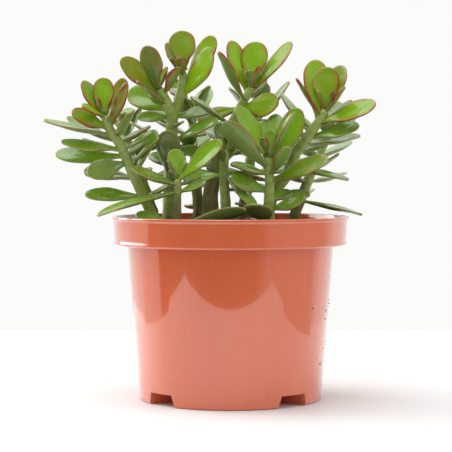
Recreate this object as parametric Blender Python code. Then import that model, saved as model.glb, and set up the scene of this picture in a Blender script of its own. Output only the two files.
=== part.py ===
"""A jade plant of several cuttings in a tapered plastic nursery pot.

The pot is a turned shell with a rolled rim band and four raised drain pockets.
The soil is a turned plug with a socket for each stem. Each stem is a tapered
tube along a bent path, with its side branches joined on. Each leaf node is one
or more opposite pairs of fleshy leaves grown together round the stem.
Axes: +Z up from the underside of the pot, -Y the front, +X the right.
"""

import math

import bmesh
import bpy
from mathutils import Matrix, Vector

for stale in list(bpy.data.objects):
    bpy.data.objects.remove(stale, do_unlink=True)

MM = 0.001  # the rows below are in millimetres
GAP = 0.35  # clearance between solids that sit in or round one another

# Pot
RIM_RADIUS = 76.2
BAND_RADIUS = 74.6
BODY_TOP_RADIUS = 66.4
BASE_RADIUS = 58.6
POT_HEIGHT = 117.6
BAND_BOTTOM = 99.2
WALL = 1.4
FLOOR = 1.8
POT_STEPS = 56

# Drain pockets in the foot
POCKET_AZIMUTHS = (42, 132, 222, 312)
POCKET_INNER_RADIUS = 41.0
POCKET_HEIGHT = 7.8
POCKET_HALF_FOOT = 12.2  # degrees at the foot
POCKET_HALF_TOP = 9.6
POCKET_WALL = 2.0  # degrees of wall beside the hollow
POCKET_FLARE = 0.3  # degrees more at the foot, as the mould needs
DRAIN_RADIUS = 3.5
DRAIN_AT = 50.0
DRAIN_SIDES = 12
DRAIN_CUT = 6.0  # length of the drain's cutter, centred this far above the lining's underside
DRAIN_CUT_RISE = 1.0
CUT_PAST = 5.0  # how far a cutter runs past what it cuts
CUT_BELOW = 1.0
SOIL_CLEAR = 0.4  # between the soil and the pockets' linings
SOIL_CLEAR_FOOT = 0.8  # the same to each side, in degrees
SOIL_CLEAR_TOP = 0.6

# Soil
SOIL_TOP = 105.4
SOIL_CROWN = 106.6
SOIL_STEPS = 40

# Leaf outline, as shares of its length and greatest width
LEAF_STATIONS = (0.0, 0.2, 0.42, 0.64, 0.84, 0.965)
WIDEST_AT = 0.63
PETIOLE_SHARE = 0.24
TIP_POWER = 2.3  # how blunt the tip is
ARC_STEPS = 24

# Leaf section: greatest thickness, and shares of it
LEAF_THICKNESS = 3.4
BASE_THICKNESS = 0.62
THICKEST_TO = 0.8  # share of the length over which it swells and thins again
PETIOLE_THIN = 0.45
FULL_FROM = 0.2  # half-width, as a share of the width, from which it's full thickness
ABOVE_SHARE = 0.30
BELOW_SHARE = 0.70
FLAT_ACROSS = 0.45  # the flat of each face, as a share of the half-width
FLAT_LIFT = 0.25  # how much of the fold the flats take
TIP_LIFT = 0.1

# The ring of tissue that joins a pair of leaves round the stem
COLLAR_SIDES = 8
COLLAR_BELOW = 0.9
COLLAR_ABOVE = 1.1
COLLAR_WALL = 0.9
COLLAR_FOOT = 0.82  # share of the wall at its lower edge
COLLAR_TOP = 0.86
COLLAR_CLEAR = 1.09  # keeps the ring's flats outside the stem's corners
LEAF_INSET = 0.7  # where a leaf starts, as a share of the stem's radius

STEM_SIDES = 8

# Each path is a list of (x, y, z, radius), from the foot to the tip. The first
# path of a stem is its main axis and the others are branches joined to it.
STEMS = {
    "stem_left": [
        [(-43, -7, 94, 3.6), (-47, -8, 112, 3.5), (-56, -10, 131, 3.3),
         (-63, -12, 147, 3.1), (-70, -14, 163, 2.8), (-77, -15, 174, 2.5),
         (-80, -16, 182, 2.2)],
    ],
    "stem_fork": [
        [(-38, 6, 94, 5.0), (-39, 6, 118, 4.7), (-39, 5, 143, 4.4),
         (-38, 4, 172, 4.0), (-37, 3, 184, 3.6)],
        [(-37.2, 3, 180, 3.2), (-41, 0, 191, 2.9), (-46, -2, 200, 2.3)],
        [(-36.8, 3, 180, 3.1), (-31.5, 4, 200, 2.8), (-30.6, 5, 212, 2.2)],
    ],
    "stem_front_small": [
        [(-34, -21, 95, 2.8), (-33.5, -23, 118, 2.5), (-33, -25, 142, 2.1)],
    ],
    "stem_centre_trunk": [
        [(-14, 5, 94, 6.0), (-13.5, 6, 116, 5.6), (-12, 7, 137, 4.6),
         (-7, 9, 158, 3.7), (4, 9, 183, 3.1), (14, 8, 201, 2.4)],
    ],
    "stem_centre_front": [
        [(0, -9, 94, 3.6), (-3, -9, 120, 3.4), (-4, -8, 148, 2.9),
         (-3, -5, 160, 2.4)],
    ],
    "stem_right_front": [
        [(25, -13, 94, 3.8), (24.3, -15, 119, 3.4), (24.8, -16, 143, 2.9),
         (23.5, -17, 156, 2.3)],
    ],
    "stem_right": [
        [(20, 5, 94, 4.4), (23, 4, 116, 4.1), (29, 2, 134, 3.9),
         (37, 0, 145, 3.7), (42, -2, 158, 3.5), (50, -5, 169, 3.2),
         (57, -7, 179, 2.7), (61, -8, 186, 2.2)],
    ],
    "stem_back_centre_left": [
        [(-20, 27, 94, 3.9), (-22, 33, 130, 3.4), (-25, 41, 164, 2.8),
         (-26, 45, 183, 2.2)],
    ],
    "stem_back_centre": [
        [(8, 31, 94, 4.2), (10, 38, 130, 3.7), (15, 47, 164, 3.0),
         (20, 52, 187, 2.2)],
    ],
    "stem_back_right": [
        [(36, 21, 94, 4.0), (44, 26, 122, 3.6), (55, 33, 148, 3.0),
         (65, 39, 169, 2.2)],
    ],
    "stem_back_left": [
        [(-44, 19, 94, 3.8), (-54, 24, 128, 3.4), (-64, 30, 156, 2.8),
         (-71, 33, 173, 2.2)],
    ],
}

# One leaf is (azimuth, rise, length, width, roll, curl, fold): azimuth 0 is +X and
# 90 is +Y, rise is above level, roll turns the upper face about the leaf's own
# length, curl bends it upwards from base to tip, and fold lifts its margins.
# One row is (stem, path, height on the path, first leaf, second leaf).
LEAVES = {
    "left_tip": [
        ("stem_left", 0, 182.0, (98, 74, 25, 13.5, 0, 8, 0.1), (228, 16, 19, 10, -40, 10, 0.2)),
        ("stem_left", 0, 178.0, (150, 58, 31, 14, -15, 8, 0.1), (316, 54, 30, 11, 40, 10, 0.4)),
        ("stem_left", 0, 174.0, (62, 64, 36, 13, 0, 16, 0.1), (205, 23, 26, 13, -60, 6, 0.1)),
    ],
    "left_b": [
        ("stem_left", 0, 169.9, (187, 12, 44, 12, -15, 8, 0.1), (305, 30, 28, 12, 30, 20, 0.2)),
    ],
    "left_c": [
        ("stem_left", 0, 165.3, (160, 25, 38, 13, -20, 6, 0.1), (30, 25, 24, 12, 0, 10, 0.1)),
    ],
    "left_d": [
        ("stem_left", 0, 160.8, (194, 7, 38, 11, -35, 10, 0.1), (350, 30, 22, 9, 20, 10, 0.2)),
    ],
    "left_e": [
        ("stem_left", 0, 156.2, (176, 2, 44, 14, -50, 10, 0.1), (55, 30, 22, 11, 0, 10, 0.1)),
    ],
    "left_f": [
        ("stem_left", 0, 151.8, (212, -14, 29, 14, -60, 0, 0.1), (335, 38, 26, 8, 30, 10, 0.3)),
    ],
    "left_g": [
        ("stem_left", 0, 142.5, (168, 8, 34, 12, -40, 6, 0.1), (65, 20, 18, 10, 0, 10, 0.1)),
    ],
    "left_h": [
        ("stem_left", 0, 130.5, (178, 2, 36, 12.5, -45, 0, 0.1), (350, 25, 18, 9, 20, 10, 0.1)),
    ],
    "fork_low": [
        ("stem_fork", 0, 144.0, (262, 64, 32, 16, 0, 20, 0.1), (85, 35, 30, 13, 0, 10, 0.1)),
    ],
    "fork_mid": [
        ("stem_fork", 0, 166.0, (342, 24, 33, 11.5, 45, 5, 0.3), (160, 25, 30, 13, 0, 10, 0.1)),
    ],
    "fork_left_tip": [
        ("stem_fork", 1, 200.0, (240, 64, 29, 15.5, 10, 6, 0.1), (118, 66, 27, 13, 0, 6, 0.1)),
        ("stem_fork", 1, 196.0, (186, 42, 34, 15, -65, 6, 0.1), (318, 50, 22, 10, 0, 12, 0.4)),
    ],
    "fork_left_b": [
        ("stem_fork", 1, 189.8, (228, 28, 29, 11, -30, 8, 0.2), (125, 25, 20, 12, 0, 10, 0.1)),
    ],
    "fork_right_tip": [
        ("stem_fork", 2, 212.0, (95, 72, 27, 17.5, 0, 5, 0.1), (200, 40, 11, 7, 0, 10, 0.2)),
        ("stem_fork", 2, 208.6, (130, 56, 26, 12, 0, 6, 0.1), (262, 50, 14, 8, 0, 10, 0.2)),
    ],
    "fork_right_b": [
        ("stem_fork", 2, 203.6, (30, 56, 38, 16, 25, 34, 0.1), (150, 30, 18, 10, 0, 8, 0.1)),
    ],
    "fork_right_c": [
        ("stem_fork", 2, 195.2, (341, 57, 37, 17, 70, 36, 0.1), (100, 15, 20, 12, 0, 8, 0.1)),
    ],
    "front_small_tip": [
        ("stem_front_small", 0, 142.0, (102, 68, 20, 12, 0, 5, 0.1), (350, 41, 36, 13.5, 60, 8, 0.3)),
    ],
    "front_small_b": [
        ("stem_front_small", 0, 138.5, (196, 20, 31, 11, -30, 16, 0.2), (30, 15, 16, 8, 0, 10, 0.2)),
    ],
    "front_small_c": [
        ("stem_front_small", 0, 133.5, (194, -16, 53, 10, -20, -10, 0.3), (335, 20, 20, 8, 50, 5, 0.2)),
    ],
    "front_small_d": [
        ("stem_front_small", 0, 112.5, (196, 14, 27, 12, -50, 5, 0.1), (345, 13, 46, 13, -35, 4, 0.1)),
    ],
    "centre_tip": [
        ("stem_centre_trunk", 0, 201.0, (74, 74, 31, 18, 0, 5, 0.1), (250, 60, 12, 8, 0, 10, 0.3)),
        ("stem_centre_trunk", 0, 197.0, (134, 66, 38, 14, -10, 6, 0.1), (14, 50, 44, 12, 30, 6, 0.1)),
    ],
    "centre_b": [
        ("stem_centre_trunk", 0, 193.2, (234, 43, 42, 13, -30, 5, 0.2), (60, 34, 26, 13, 0, 8, 0.1)),
    ],
    "centre_c": [
        ("stem_centre_trunk", 0, 187.2, (334, 8, 27, 17, 70, 10, 0.1), (162, -12, 30, 13, -50, 8, 0.1)),
    ],
    "centre_d": [
        ("stem_centre_trunk", 0, 177.0, (206, 30, 34, 10, -25, 5, 0.3), (40, 30, 28, 12, 0, 8, 0.1)),
    ],
    "centre_front_tip": [
        ("stem_centre_front", 0, 160.0, (108, 60, 20, 11, 0, 6, 0.1), (330, 60, 16, 9, 0, 6, 0.2)),
    ],
    "centre_front_b": [
        ("stem_centre_front", 0, 144.0, (318, -40, 32, 12, 0, -6, 0.1), (186, -6, 26, 11, -40, -6, 0.1)),
    ],
    "right_front_tip": [
        ("stem_right_front", 0, 156.0, (152, 58, 38, 15.5, -20, 6, 0.1), (328, 56, 33, 10, 30, 6, 0.4)),
        ("stem_right_front", 0, 152.5, (104, 62, 30, 13, 0, 5, 0.1), (68, 64, 34, 14, 0, 6, 0.1)),
        ("stem_right_front", 0, 149.0, (207, 43, 42, 15.5, 40, 6, 0.1), (8, 64, 42, 16, 60, 18, 0.1)),
    ],
    "right_front_b": [
        ("stem_right_front", 0, 145.0, (312, 46, 24, 13, 10, 16, 0.1), (192, 14, 25, 11, -30, 10, 0.3)),
    ],
    "right_front_c": [
        ("stem_right_front", 0, 140.8, (345, 20, 40, 15, 50, 6, 0.2), (150, 15, 24, 11, 0, 8, 0.1)),
    ],
    "right_front_d": [
        ("stem_right_front", 0, 134.0, (195, 22, 26, 13.5, -60, 14, 0.1), (125, 20, 13, 9, 0, 8, 0.1)),
    ],
    "right_front_e": [
        ("stem_right_front", 0, 122.5, (328, 16, 27, 12, 55, 5, 0.1), (160, 10, 22, 10, 0, 5, 0.1)),
    ],
    "right_front_f": [
        ("stem_right_front", 0, 115.0, (243, 26, 26, 19, 0, 30, 0.1), (160, 5, 14, 9, 0, 10, 0.1)),
    ],
    "right_tip": [
        ("stem_right", 0, 185.5, (88, 74, 29, 17.5, 0, 5, 0.1), (322, 46, 20, 9, 30, 5, 0.4)),
        ("stem_right", 0, 182.0, (44, 62, 37, 15, 10, 5, 0.1), (200, 54, 29, 10, -20, 5, 0.2)),
        ("stem_right", 0, 178.5, (98, 66, 44, 17, 0, 5, 0.1), (338, 17, 38, 15.5, 50, 10, 0.1)),
    ],
    "right_b": [
        ("stem_right", 0, 173.6, (30, 34, 34, 12, 0, 14, 0.1), (158, 48, 31, 13, -10, 18, 0.1)),
    ],
    "right_c": [
        ("stem_right", 0, 168.2, (350, 13, 33, 13, 45, 4, 0.1), (150, 34, 17, 10, -20, 10, 0.2)),
    ],
    "right_d": [
        ("stem_right", 0, 163.8, (8, 9, 37, 15, 15, 8, 0.1), (120, 30, 30, 13, 0, 8, 0.1)),
    ],
    "right_e": [
        ("stem_right", 0, 149.0, (8, -12, 38, 10, 20, -5, 0.1), (100, 20, 26, 12, 0, 8, 0.1)),
    ],
    "back_centre_left_tip": [
        ("stem_back_centre_left", 0, 183.0, (150, 60, 28, 14, 0, 5, 0.1), (330, 58, 24, 12, 0, 5, 0.1)),
        ("stem_back_centre_left", 0, 178.5, (60, 50, 32, 14, 0, 8, 0.1), (240, 46, 26, 12, 0, 8, 0.1)),
    ],
    "back_centre_left_b": [
        ("stem_back_centre_left", 0, 170.0, (150, 22, 32, 14, 0, 8, 0.1), (340, 20, 26, 13, 30, 8, 0.1)),
    ],
    "back_centre_tip": [
        ("stem_back_centre", 0, 187.0, (100, 66, 28, 14, 0, 5, 0.1), (280, 60, 22, 12, 0, 5, 0.1)),
        ("stem_back_centre", 0, 182.5, (15, 50, 32, 14, 0, 8, 0.1), (190, 46, 28, 13, 0, 8, 0.1)),
    ],
    "back_centre_b": [
        ("stem_back_centre", 0, 174.0, (105, 26, 34, 14, 0, 8, 0.1), (285, 15, 24, 12, 0, 8, 0.1)),
    ],
    "back_right_tip": [
        ("stem_back_right", 0, 169.0, (60, 60, 28, 14, 0, 5, 0.1), (240, 60, 22, 11, 0, 5, 0.1)),
        ("stem_back_right", 0, 164.5, (330, 40, 30, 13, 0, 8, 0.1), (145, 44, 28, 13, 0, 8, 0.1)),
    ],
    "back_right_b": [
        ("stem_back_right", 0, 156.0, (50, 18, 34, 14, 0, 8, 0.1), (235, 12, 22, 11, 0, 8, 0.1)),
    ],
    "back_right_c": [
        ("stem_back_right", 0, 127.0, (357, -13, 41, 11, 10, -5, 0.1), (140, 10, 26, 11, 0, 8, 0.1)),
    ],
    "back_left_tip": [
        ("stem_back_left", 0, 173.0, (170, 58, 28, 13, 0, 5, 0.1), (350, 54, 22, 11, 0, 5, 0.1)),
        ("stem_back_left", 0, 168.5, (92, 40, 32, 14, 0, 8, 0.1), (268, 36, 18, 10, 0, 8, 0.1)),
    ],
    "back_left_b": [
        ("stem_back_left", 0, 159.0, (175, 16, 34, 14, 0, 8, 0.1), (20, 15, 24, 11, 0, 8, 0.1)),
    ],
}


def material(name, colour, roughness, clear_coat):
    made = bpy.data.materials.new(name)
    made.use_nodes = True
    shader = made.node_tree.nodes["Principled BSDF"]
    shader.inputs["Base Color"].default_value = (*colour, 1.0)
    shader.inputs["Roughness"].default_value = roughness
    shader.inputs["Coat Weight"].default_value = clear_coat
    made.diffuse_color = (*colour, 1.0)
    return made


def object_from(name, bm, look=None):
    bmesh.ops.recalc_face_normals(bm, faces=bm.faces)
    mesh = bpy.data.meshes.new(name)
    bm.to_mesh(mesh)
    bm.free()
    made = bpy.data.objects.new(name, mesh)
    bpy.context.scene.collection.objects.link(made)
    if look is None:
        made.hide_render = True
        made.display_type = "WIRE"
    else:
        mesh.materials.append(look)
        mesh.polygons.foreach_set("use_smooth", [True] * len(mesh.polygons))
    return made


def boolean(target, cutter, operation, own_overlaps=False):
    step = target.modifiers.new(f"{operation.lower()} {cutter.name}", "BOOLEAN")
    step.operation = operation
    step.solver = "EXACT"
    step.use_self = own_overlaps
    step.object = cutter


def skin_rings(bm, rings, close_start=True, close_end=True):
    """Faces between successive rings of vertices, with a cap at each closed end."""
    for near, far in zip(rings, rings[1:]):
        for i in range(len(near)):
            j = (i + 1) % len(near)
            bm.faces.new((near[i], near[j], far[j], far[i]))
    if close_start:
        bm.faces.new(list(reversed(rings[0])))
    if close_end:
        bm.faces.new(rings[-1])


def turned(name, profile, steps, look=None):
    """The solid of revolution of a closed (radius, height) profile on the Z axis."""
    bm = bmesh.new()
    points = [bm.verts.new((r * MM, 0, z * MM)) for r, z in profile]
    for a, b in zip(points, points[1:]):
        bm.edges.new((a, b))
    bmesh.ops.spin(
        bm, geom=bm.verts[:] + bm.edges[:], axis=(0, 0, 1), cent=(0, 0, 0),
        angle=2 * math.pi, steps=steps, use_merge=True,
    )
    bmesh.ops.remove_doubles(bm, verts=bm.verts, dist=0.00002)
    return object_from(name, bm, look)


def sector(name, inner, outer, low, high, azimuth, half_low, half_high, look=None):
    """A block between two radii that spans an angle, narrower at its top."""
    parts = 5
    bm = bmesh.new()
    rings = []
    for i in range(parts + 1):
        share = 2 * i / parts - 1
        ring = []
        for radius, z, half in (
            (inner, low, half_low), (outer, low, half_low),
            (outer, high, half_high), (inner, high, half_high),
        ):
            turn = math.radians(azimuth + share * half)
            at = (radius * math.cos(turn) * MM, radius * math.sin(turn) * MM, z * MM)
            ring.append(bm.verts.new(at))
        rings.append(ring)
    skin_rings(bm, rings)
    return object_from(name, bm, look)


def path_frames(path):
    """The centre, tangent and radius at each point of a path, in millimetres."""
    centres = [Vector(p[:3]) for p in path]
    frames = []
    for i, centre in enumerate(centres):
        before = centres[max(i - 1, 0)]
        after = centres[min(i + 1, len(centres) - 1)]
        frames.append((centre, (after - before).normalized(), path[i][3]))
    return frames


def add_tube(bm, path, grow=0.0, longer=0.0):
    """A closed faceted tube round a path. The rings keep one heading, so that a
    grown copy has its facets parallel to the tube's own."""
    frames = path_frames(path)
    rings = []
    for i, (centre, tangent, radius) in enumerate(frames):
        side = Vector((0, 1, 0)).cross(tangent).normalized()
        front = tangent.cross(side).normalized()
        if i == 0:
            centre = centre - tangent * longer
        if i == len(frames) - 1:
            centre = centre + tangent * longer
        ring = []
        for k in range(STEM_SIDES):
            turn = 2 * math.pi * (k + 0.5) / STEM_SIDES
            offset = side * math.cos(turn) + front * math.sin(turn)
            reach = radius + grow / math.cos(math.pi / STEM_SIDES)
            ring.append(bm.verts.new((centre + offset * reach) * MM))
        rings.append(ring)
    skin_rings(bm, rings)


def on_path(path, height):
    """The centre, direction and radius of a path where it passes a height."""
    for low, high in zip(path, path[1:]):
        if height <= high[2] or high is path[-1]:
            share = (height - low[2]) / (high[2] - low[2])
            centre = Vector(low[:3]).lerp(Vector(high[:3]), share)
            tangent = (Vector(high[:3]) - Vector(low[:3])).normalized()
            return centre, tangent, low[3] + (high[3] - low[3]) * share
    raise ValueError("the path has one point")


def outline(t):
    """Half-width of a leaf as a share of its greatest, at a share of its length."""
    if t <= WIDEST_AT:
        s = t / WIDEST_AT
        return PETIOLE_SHARE + (1 - PETIOLE_SHARE) * s * s * (3 - 2 * s)
    past = (t - WIDEST_AT) / (1 - WIDEST_AT)
    return (1 - past ** TIP_POWER) ** 0.5


def leaf_axes(azimuth, rise, roll):
    """Direction, sideways axis and upper-face normal of a leaf at one point."""
    turn = math.radians(azimuth)
    lift = math.radians(rise)
    ahead = Vector((math.cos(turn), math.sin(turn), 0))
    along = ahead * math.cos(lift) + Vector((0, 0, math.sin(lift)))
    upper = ahead * -math.sin(lift) + Vector((0, 0, math.cos(lift)))
    upper.rotate(Matrix.Rotation(math.radians(roll), 3, along))
    return along, along.cross(upper), upper


def along_arc(arc, share):
    """The point of an arc at a share of its length, between its even steps."""
    step = min(int(share * ARC_STEPS), ARC_STEPS - 1)
    return arc[step].lerp(arc[step + 1], share * ARC_STEPS - step)


def leaf_ring(half, thick, lift):
    """Six (across, up) places round a leaf's section, margins and flats in turn."""
    flat = FLAT_ACROSS * half
    top = FLAT_LIFT * lift + ABOVE_SHARE * thick
    bottom = FLAT_LIFT * lift - BELOW_SHARE * thick
    return (half, lift), (flat, top), (-flat, top), (-half, lift), (-flat, bottom), (flat, bottom)


def add_leaf(bm, base, leaf):
    """One fleshy leaf: a flat-topped section, skinned along an arc, with a round tip."""
    azimuth, rise, length, width, roll, curl, fold = leaf
    arc = [base.copy()]
    for i in range(ARC_STEPS):
        turned = rise + curl * ((i + 0.5) / ARC_STEPS - 0.5)
        arc.append(arc[-1] + leaf_axes(azimuth, turned, roll)[0] * (length / ARC_STEPS))
    rings = []
    for t in LEAF_STATIONS:
        at = along_arc(arc, t)
        _, side, upper = leaf_axes(azimuth, rise + curl * (t - 0.5), roll)
        half = 0.5 * width * outline(t)
        swelling = math.sin(math.pi * min(t / THICKEST_TO, 1))
        thick = LEAF_THICKNESS * (BASE_THICKNESS + (1 - BASE_THICKNESS) * swelling)
        filled = PETIOLE_THIN + (1 - PETIOLE_THIN) * half / (FULL_FROM * width)
        lift = fold * width * 0.5 * (half / (0.5 * width)) ** 2
        places = leaf_ring(half, thick * min(1.0, filled), lift)
        rings.append([bm.verts.new((at + side * across + upper * up) * MM) for across, up in places])
    skin_rings(bm, rings, close_end=False)
    tip_up = leaf_axes(azimuth, rise + curl / 2, roll)[2]
    tip = bm.verts.new((arc[-1] + tip_up * (fold * width * TIP_LIFT)) * MM)
    last = rings[-1]
    for i in range(len(last)):
        bm.faces.new((last[i], last[(i + 1) % len(last)], tip))


def add_collar(bm, centre, tangent, radius, below, above):
    """The ring of leaf base tissue round the stem."""
    side = Vector((0, 1, 0)).cross(tangent).normalized()
    front = tangent.cross(side).normalized()
    rings = []
    for along, grown in ((-below, COLLAR_FOOT), (0.0, 1.0), (above, COLLAR_TOP)):
        ring = []
        for k in range(COLLAR_SIDES):
            turn = 2 * math.pi * (k + 0.5) / COLLAR_SIDES
            offset = side * math.cos(turn) + front * math.sin(turn)
            reach = (radius + GAP) * COLLAR_CLEAR + COLLAR_WALL * grown
            ring.append(bm.verts.new((centre + tangent * along + offset * reach) * MM))
        rings.append(ring)
    skin_rings(bm, rings)


# Materials
terracotta = material("terracotta_plastic", (0.62, 0.17, 0.075), 0.22, 0.4)
compost = material("compost", (0.035, 0.02, 0.012), 0.95, 0.0)
bark = material("jade_stem", (0.16, 0.20, 0.055), 0.55, 0.0)
leaf_green = material("jade_leaf", (0.11, 0.24, 0.035), 0.32, 0.3)

# Pot
pot = turned("pot", [
    (0, 0), (BASE_RADIUS - 1.0, 0), (BASE_RADIUS, 0.9),
    (BODY_TOP_RADIUS, BAND_BOTTOM), (BODY_TOP_RADIUS + 0.3, BAND_BOTTOM + 1.3),
    (BAND_RADIUS - 1.5, BAND_BOTTOM + 1.5), (BAND_RADIUS - 1.1, BAND_BOTTOM),
    (BAND_RADIUS - 0.2, BAND_BOTTOM), (BAND_RADIUS, BAND_BOTTOM + 0.6),
    (BAND_RADIUS + 0.9, POT_HEIGHT - 2.6), (RIM_RADIUS, POT_HEIGHT - 1.6),
    (RIM_RADIUS, POT_HEIGHT - 0.5), (RIM_RADIUS - 0.5, POT_HEIGHT),
    (RIM_RADIUS - 1.6, POT_HEIGHT), (RIM_RADIUS - 2.1, POT_HEIGHT - 0.6),
    (BAND_RADIUS - WALL, BAND_BOTTOM + 4.0), (BAND_RADIUS - 2.2, BAND_BOTTOM + 2.9),
    (BODY_TOP_RADIUS - WALL + 0.4, BAND_BOTTOM + 2.6),
    (BODY_TOP_RADIUS - WALL, BAND_BOTTOM + 1.2),
    (BASE_RADIUS - WALL + 0.1, FLOOR + 0.9), (BASE_RADIUS - WALL - 0.8, FLOOR),
    (0, FLOOR),
], POT_STEPS, terracotta)
soil = turned("soil", [
    (0, FLOOR + 0.4), (BASE_RADIUS - WALL - 1.3, FLOOR + 0.4),
    (BASE_RADIUS - WALL - 0.4, FLOOR + 1.5),
    (BODY_TOP_RADIUS - WALL - 0.5, BAND_BOTTOM + 1.2),
    (BODY_TOP_RADIUS - WALL, BAND_BOTTOM + 3.0),
    (BAND_RADIUS - 3.0, BAND_BOTTOM + 3.4), (BAND_RADIUS - 2.0, BAND_BOTTOM + 4.6),
    (BAND_RADIUS - 2.0, SOIL_TOP - 0.6), (BAND_RADIUS - 4.2, SOIL_TOP),
    (48, SOIL_TOP + 0.4), (24, SOIL_CROWN - 0.3), (0, SOIL_CROWN),
], SOIL_STEPS, compost)
for azimuth in POCKET_AZIMUTHS:
    lining = sector(
        f"pocket_lining_{azimuth}", POCKET_INNER_RADIUS - WALL, BASE_RADIUS - 0.5,
        0.5 * FLOOR, POCKET_HEIGHT + WALL, azimuth,
        POCKET_HALF_FOOT + POCKET_WALL, POCKET_HALF_TOP + POCKET_WALL)
    boolean(pot, lining, "UNION")
for azimuth in POCKET_AZIMUTHS:
    hollow = sector(
        f"pocket_hollow_{azimuth}", POCKET_INNER_RADIUS, BASE_RADIUS + CUT_PAST,
        -CUT_BELOW, POCKET_HEIGHT, azimuth,
        POCKET_HALF_FOOT + POCKET_FLARE, POCKET_HALF_TOP)
    boolean(pot, hollow, "DIFFERENCE")
    bm = bmesh.new()
    turn = math.radians(azimuth)
    at = Vector((
        DRAIN_AT * math.cos(turn), DRAIN_AT * math.sin(turn), POCKET_HEIGHT + DRAIN_CUT_RISE))
    bmesh.ops.create_cone(
        bm, cap_ends=True, segments=DRAIN_SIDES, radius1=DRAIN_RADIUS * MM,
        radius2=DRAIN_RADIUS * MM, depth=DRAIN_CUT * MM, matrix=Matrix.Translation(at * MM))
    boolean(pot, object_from(f"drain_{azimuth}", bm), "DIFFERENCE")
    room = sector(
        f"soil_room_{azimuth}", POCKET_INNER_RADIUS - WALL - SOIL_CLEAR, BASE_RADIUS + CUT_PAST,
        -CUT_BELOW, POCKET_HEIGHT + WALL + SOIL_CLEAR, azimuth,
        POCKET_HALF_FOOT + POCKET_WALL + SOIL_CLEAR_FOOT,
        POCKET_HALF_TOP + POCKET_WALL + SOIL_CLEAR_TOP)
    boolean(soil, room, "DIFFERENCE")

# Stems, and a grown copy of each that cuts the soil and the leaf collars
stem_cutters = {}
for name, paths in STEMS.items():
    bm = bmesh.new()
    add_tube(bm, paths[0])
    stem = object_from(name, bm, bark)
    for i, branch in enumerate(paths[1:]):
        bm = bmesh.new()
        add_tube(bm, branch)
        boolean(stem, object_from(f"{name}_branch_{i}", bm), "UNION")
    for i, path in enumerate(paths):
        bm = bmesh.new()
        add_tube(bm, path, grow=GAP, longer=GAP)
        stem_cutters[name, i] = object_from(f"{name}_clearance_{i}", bm)
    boolean(soil, stem_cutters[name, 0], "DIFFERENCE")

# Leaf pairs
for name, rows in LEAVES.items():
    bm = bmesh.new()
    used = []
    for index, (stem_name, branch, height, first, second) in enumerate(rows):
        path = STEMS[stem_name][branch]
        centre, tangent, radius = on_path(path, height)
        topmost = len(rows) > 1 and index == 0
        below = (height - rows[1][2]) / tangent.z if topmost else COLLAR_BELOW
        add_collar(bm, centre, tangent, radius, below, COLLAR_ABOVE)
        for leaf in (first, second):
            turn = math.radians(leaf[0])
            ahead = Vector((math.cos(turn), math.sin(turn), 0))
            add_leaf(bm, centre + ahead * (LEAF_INSET * radius), leaf)
        used.append((stem_name, branch))
    pair = object_from(name, bm, leaf_green)
    for key in sorted(set(used)):
        boolean(pair, stem_cutters[key], "DIFFERENCE", own_overlaps=True)
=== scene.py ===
"""A jade plant of several cuttings in a glossy terracotta-coloured nursery pot.

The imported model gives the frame: pot, soil, stems and leaf pairs. Each is stood
for here by a finer surface of the same size in the same place. The script is
laid out as an add-on with one operator for each kind of piece.
Axes: +Z up from the underside of the pot, -Y the front, +X the right.
Rows and constants are in millimetres unless their comment says otherwise.
"""

import math

import bpy
import numpy as np
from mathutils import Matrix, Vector


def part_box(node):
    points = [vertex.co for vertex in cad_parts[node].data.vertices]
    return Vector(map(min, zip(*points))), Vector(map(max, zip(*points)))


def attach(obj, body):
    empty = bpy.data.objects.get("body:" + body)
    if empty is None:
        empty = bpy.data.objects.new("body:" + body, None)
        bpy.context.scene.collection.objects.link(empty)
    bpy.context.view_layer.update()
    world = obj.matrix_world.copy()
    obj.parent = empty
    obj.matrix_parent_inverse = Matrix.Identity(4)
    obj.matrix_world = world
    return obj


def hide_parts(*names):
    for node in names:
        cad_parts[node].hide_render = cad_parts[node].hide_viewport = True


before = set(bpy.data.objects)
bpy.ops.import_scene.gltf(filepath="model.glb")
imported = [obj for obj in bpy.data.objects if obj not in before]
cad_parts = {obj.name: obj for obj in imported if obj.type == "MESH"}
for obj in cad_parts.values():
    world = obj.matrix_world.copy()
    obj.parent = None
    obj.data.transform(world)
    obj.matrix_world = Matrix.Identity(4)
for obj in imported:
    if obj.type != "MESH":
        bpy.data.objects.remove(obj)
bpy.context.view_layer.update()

bl_info = {
    "name": "Potted jade plant",
    "version": (1, 0, 0),
    "blender": (4, 5, 0),
    "location": "View3D > Sidebar > Jade plant",
    "description": "Builds a jade plant of several cuttings in a nursery pot",
    "category": "Add Mesh",
}

MM = 0.001
SEED = 29  # each use adds its own number, so no two share their draws

# Pot, from the outside in
POT_LOW, POT_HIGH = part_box("pot")
POT_HEIGHT = POT_HIGH.z / MM
RIM_RADIUS = (POT_HIGH.x - POT_LOW.x) / 2 / MM
BAND_RADIUS = RIM_RADIUS - 1.6
BODY_TOP_RADIUS = RIM_RADIUS - 9.8
BASE_RADIUS = RIM_RADIUS - 17.6
BAND_BOTTOM = POT_HEIGHT - 18.4
WALL = 1.4
FLOOR = 1.8

# Drain pockets in the foot, angles in degrees
POCKET_AZIMUTHS = (42, 132, 222, 312)
POCKET_INNER_RADIUS = 41.0
POCKET_HEIGHT = 7.8
POCKET_HALF_FOOT = 12.2
POCKET_HALF_TOP = 9.6
POCKET_WALL = 2.0
DRAIN_RADIUS = 3.5
DRAIN_AT = 50.0

# Soil
SOIL_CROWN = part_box("soil")[1].z / MM
SOIL_RADIUS = BAND_RADIUS - 2.0

# Leaf outline and section
WIDEST_AT = 0.63
PETIOLE_SHARE = 0.24

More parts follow.
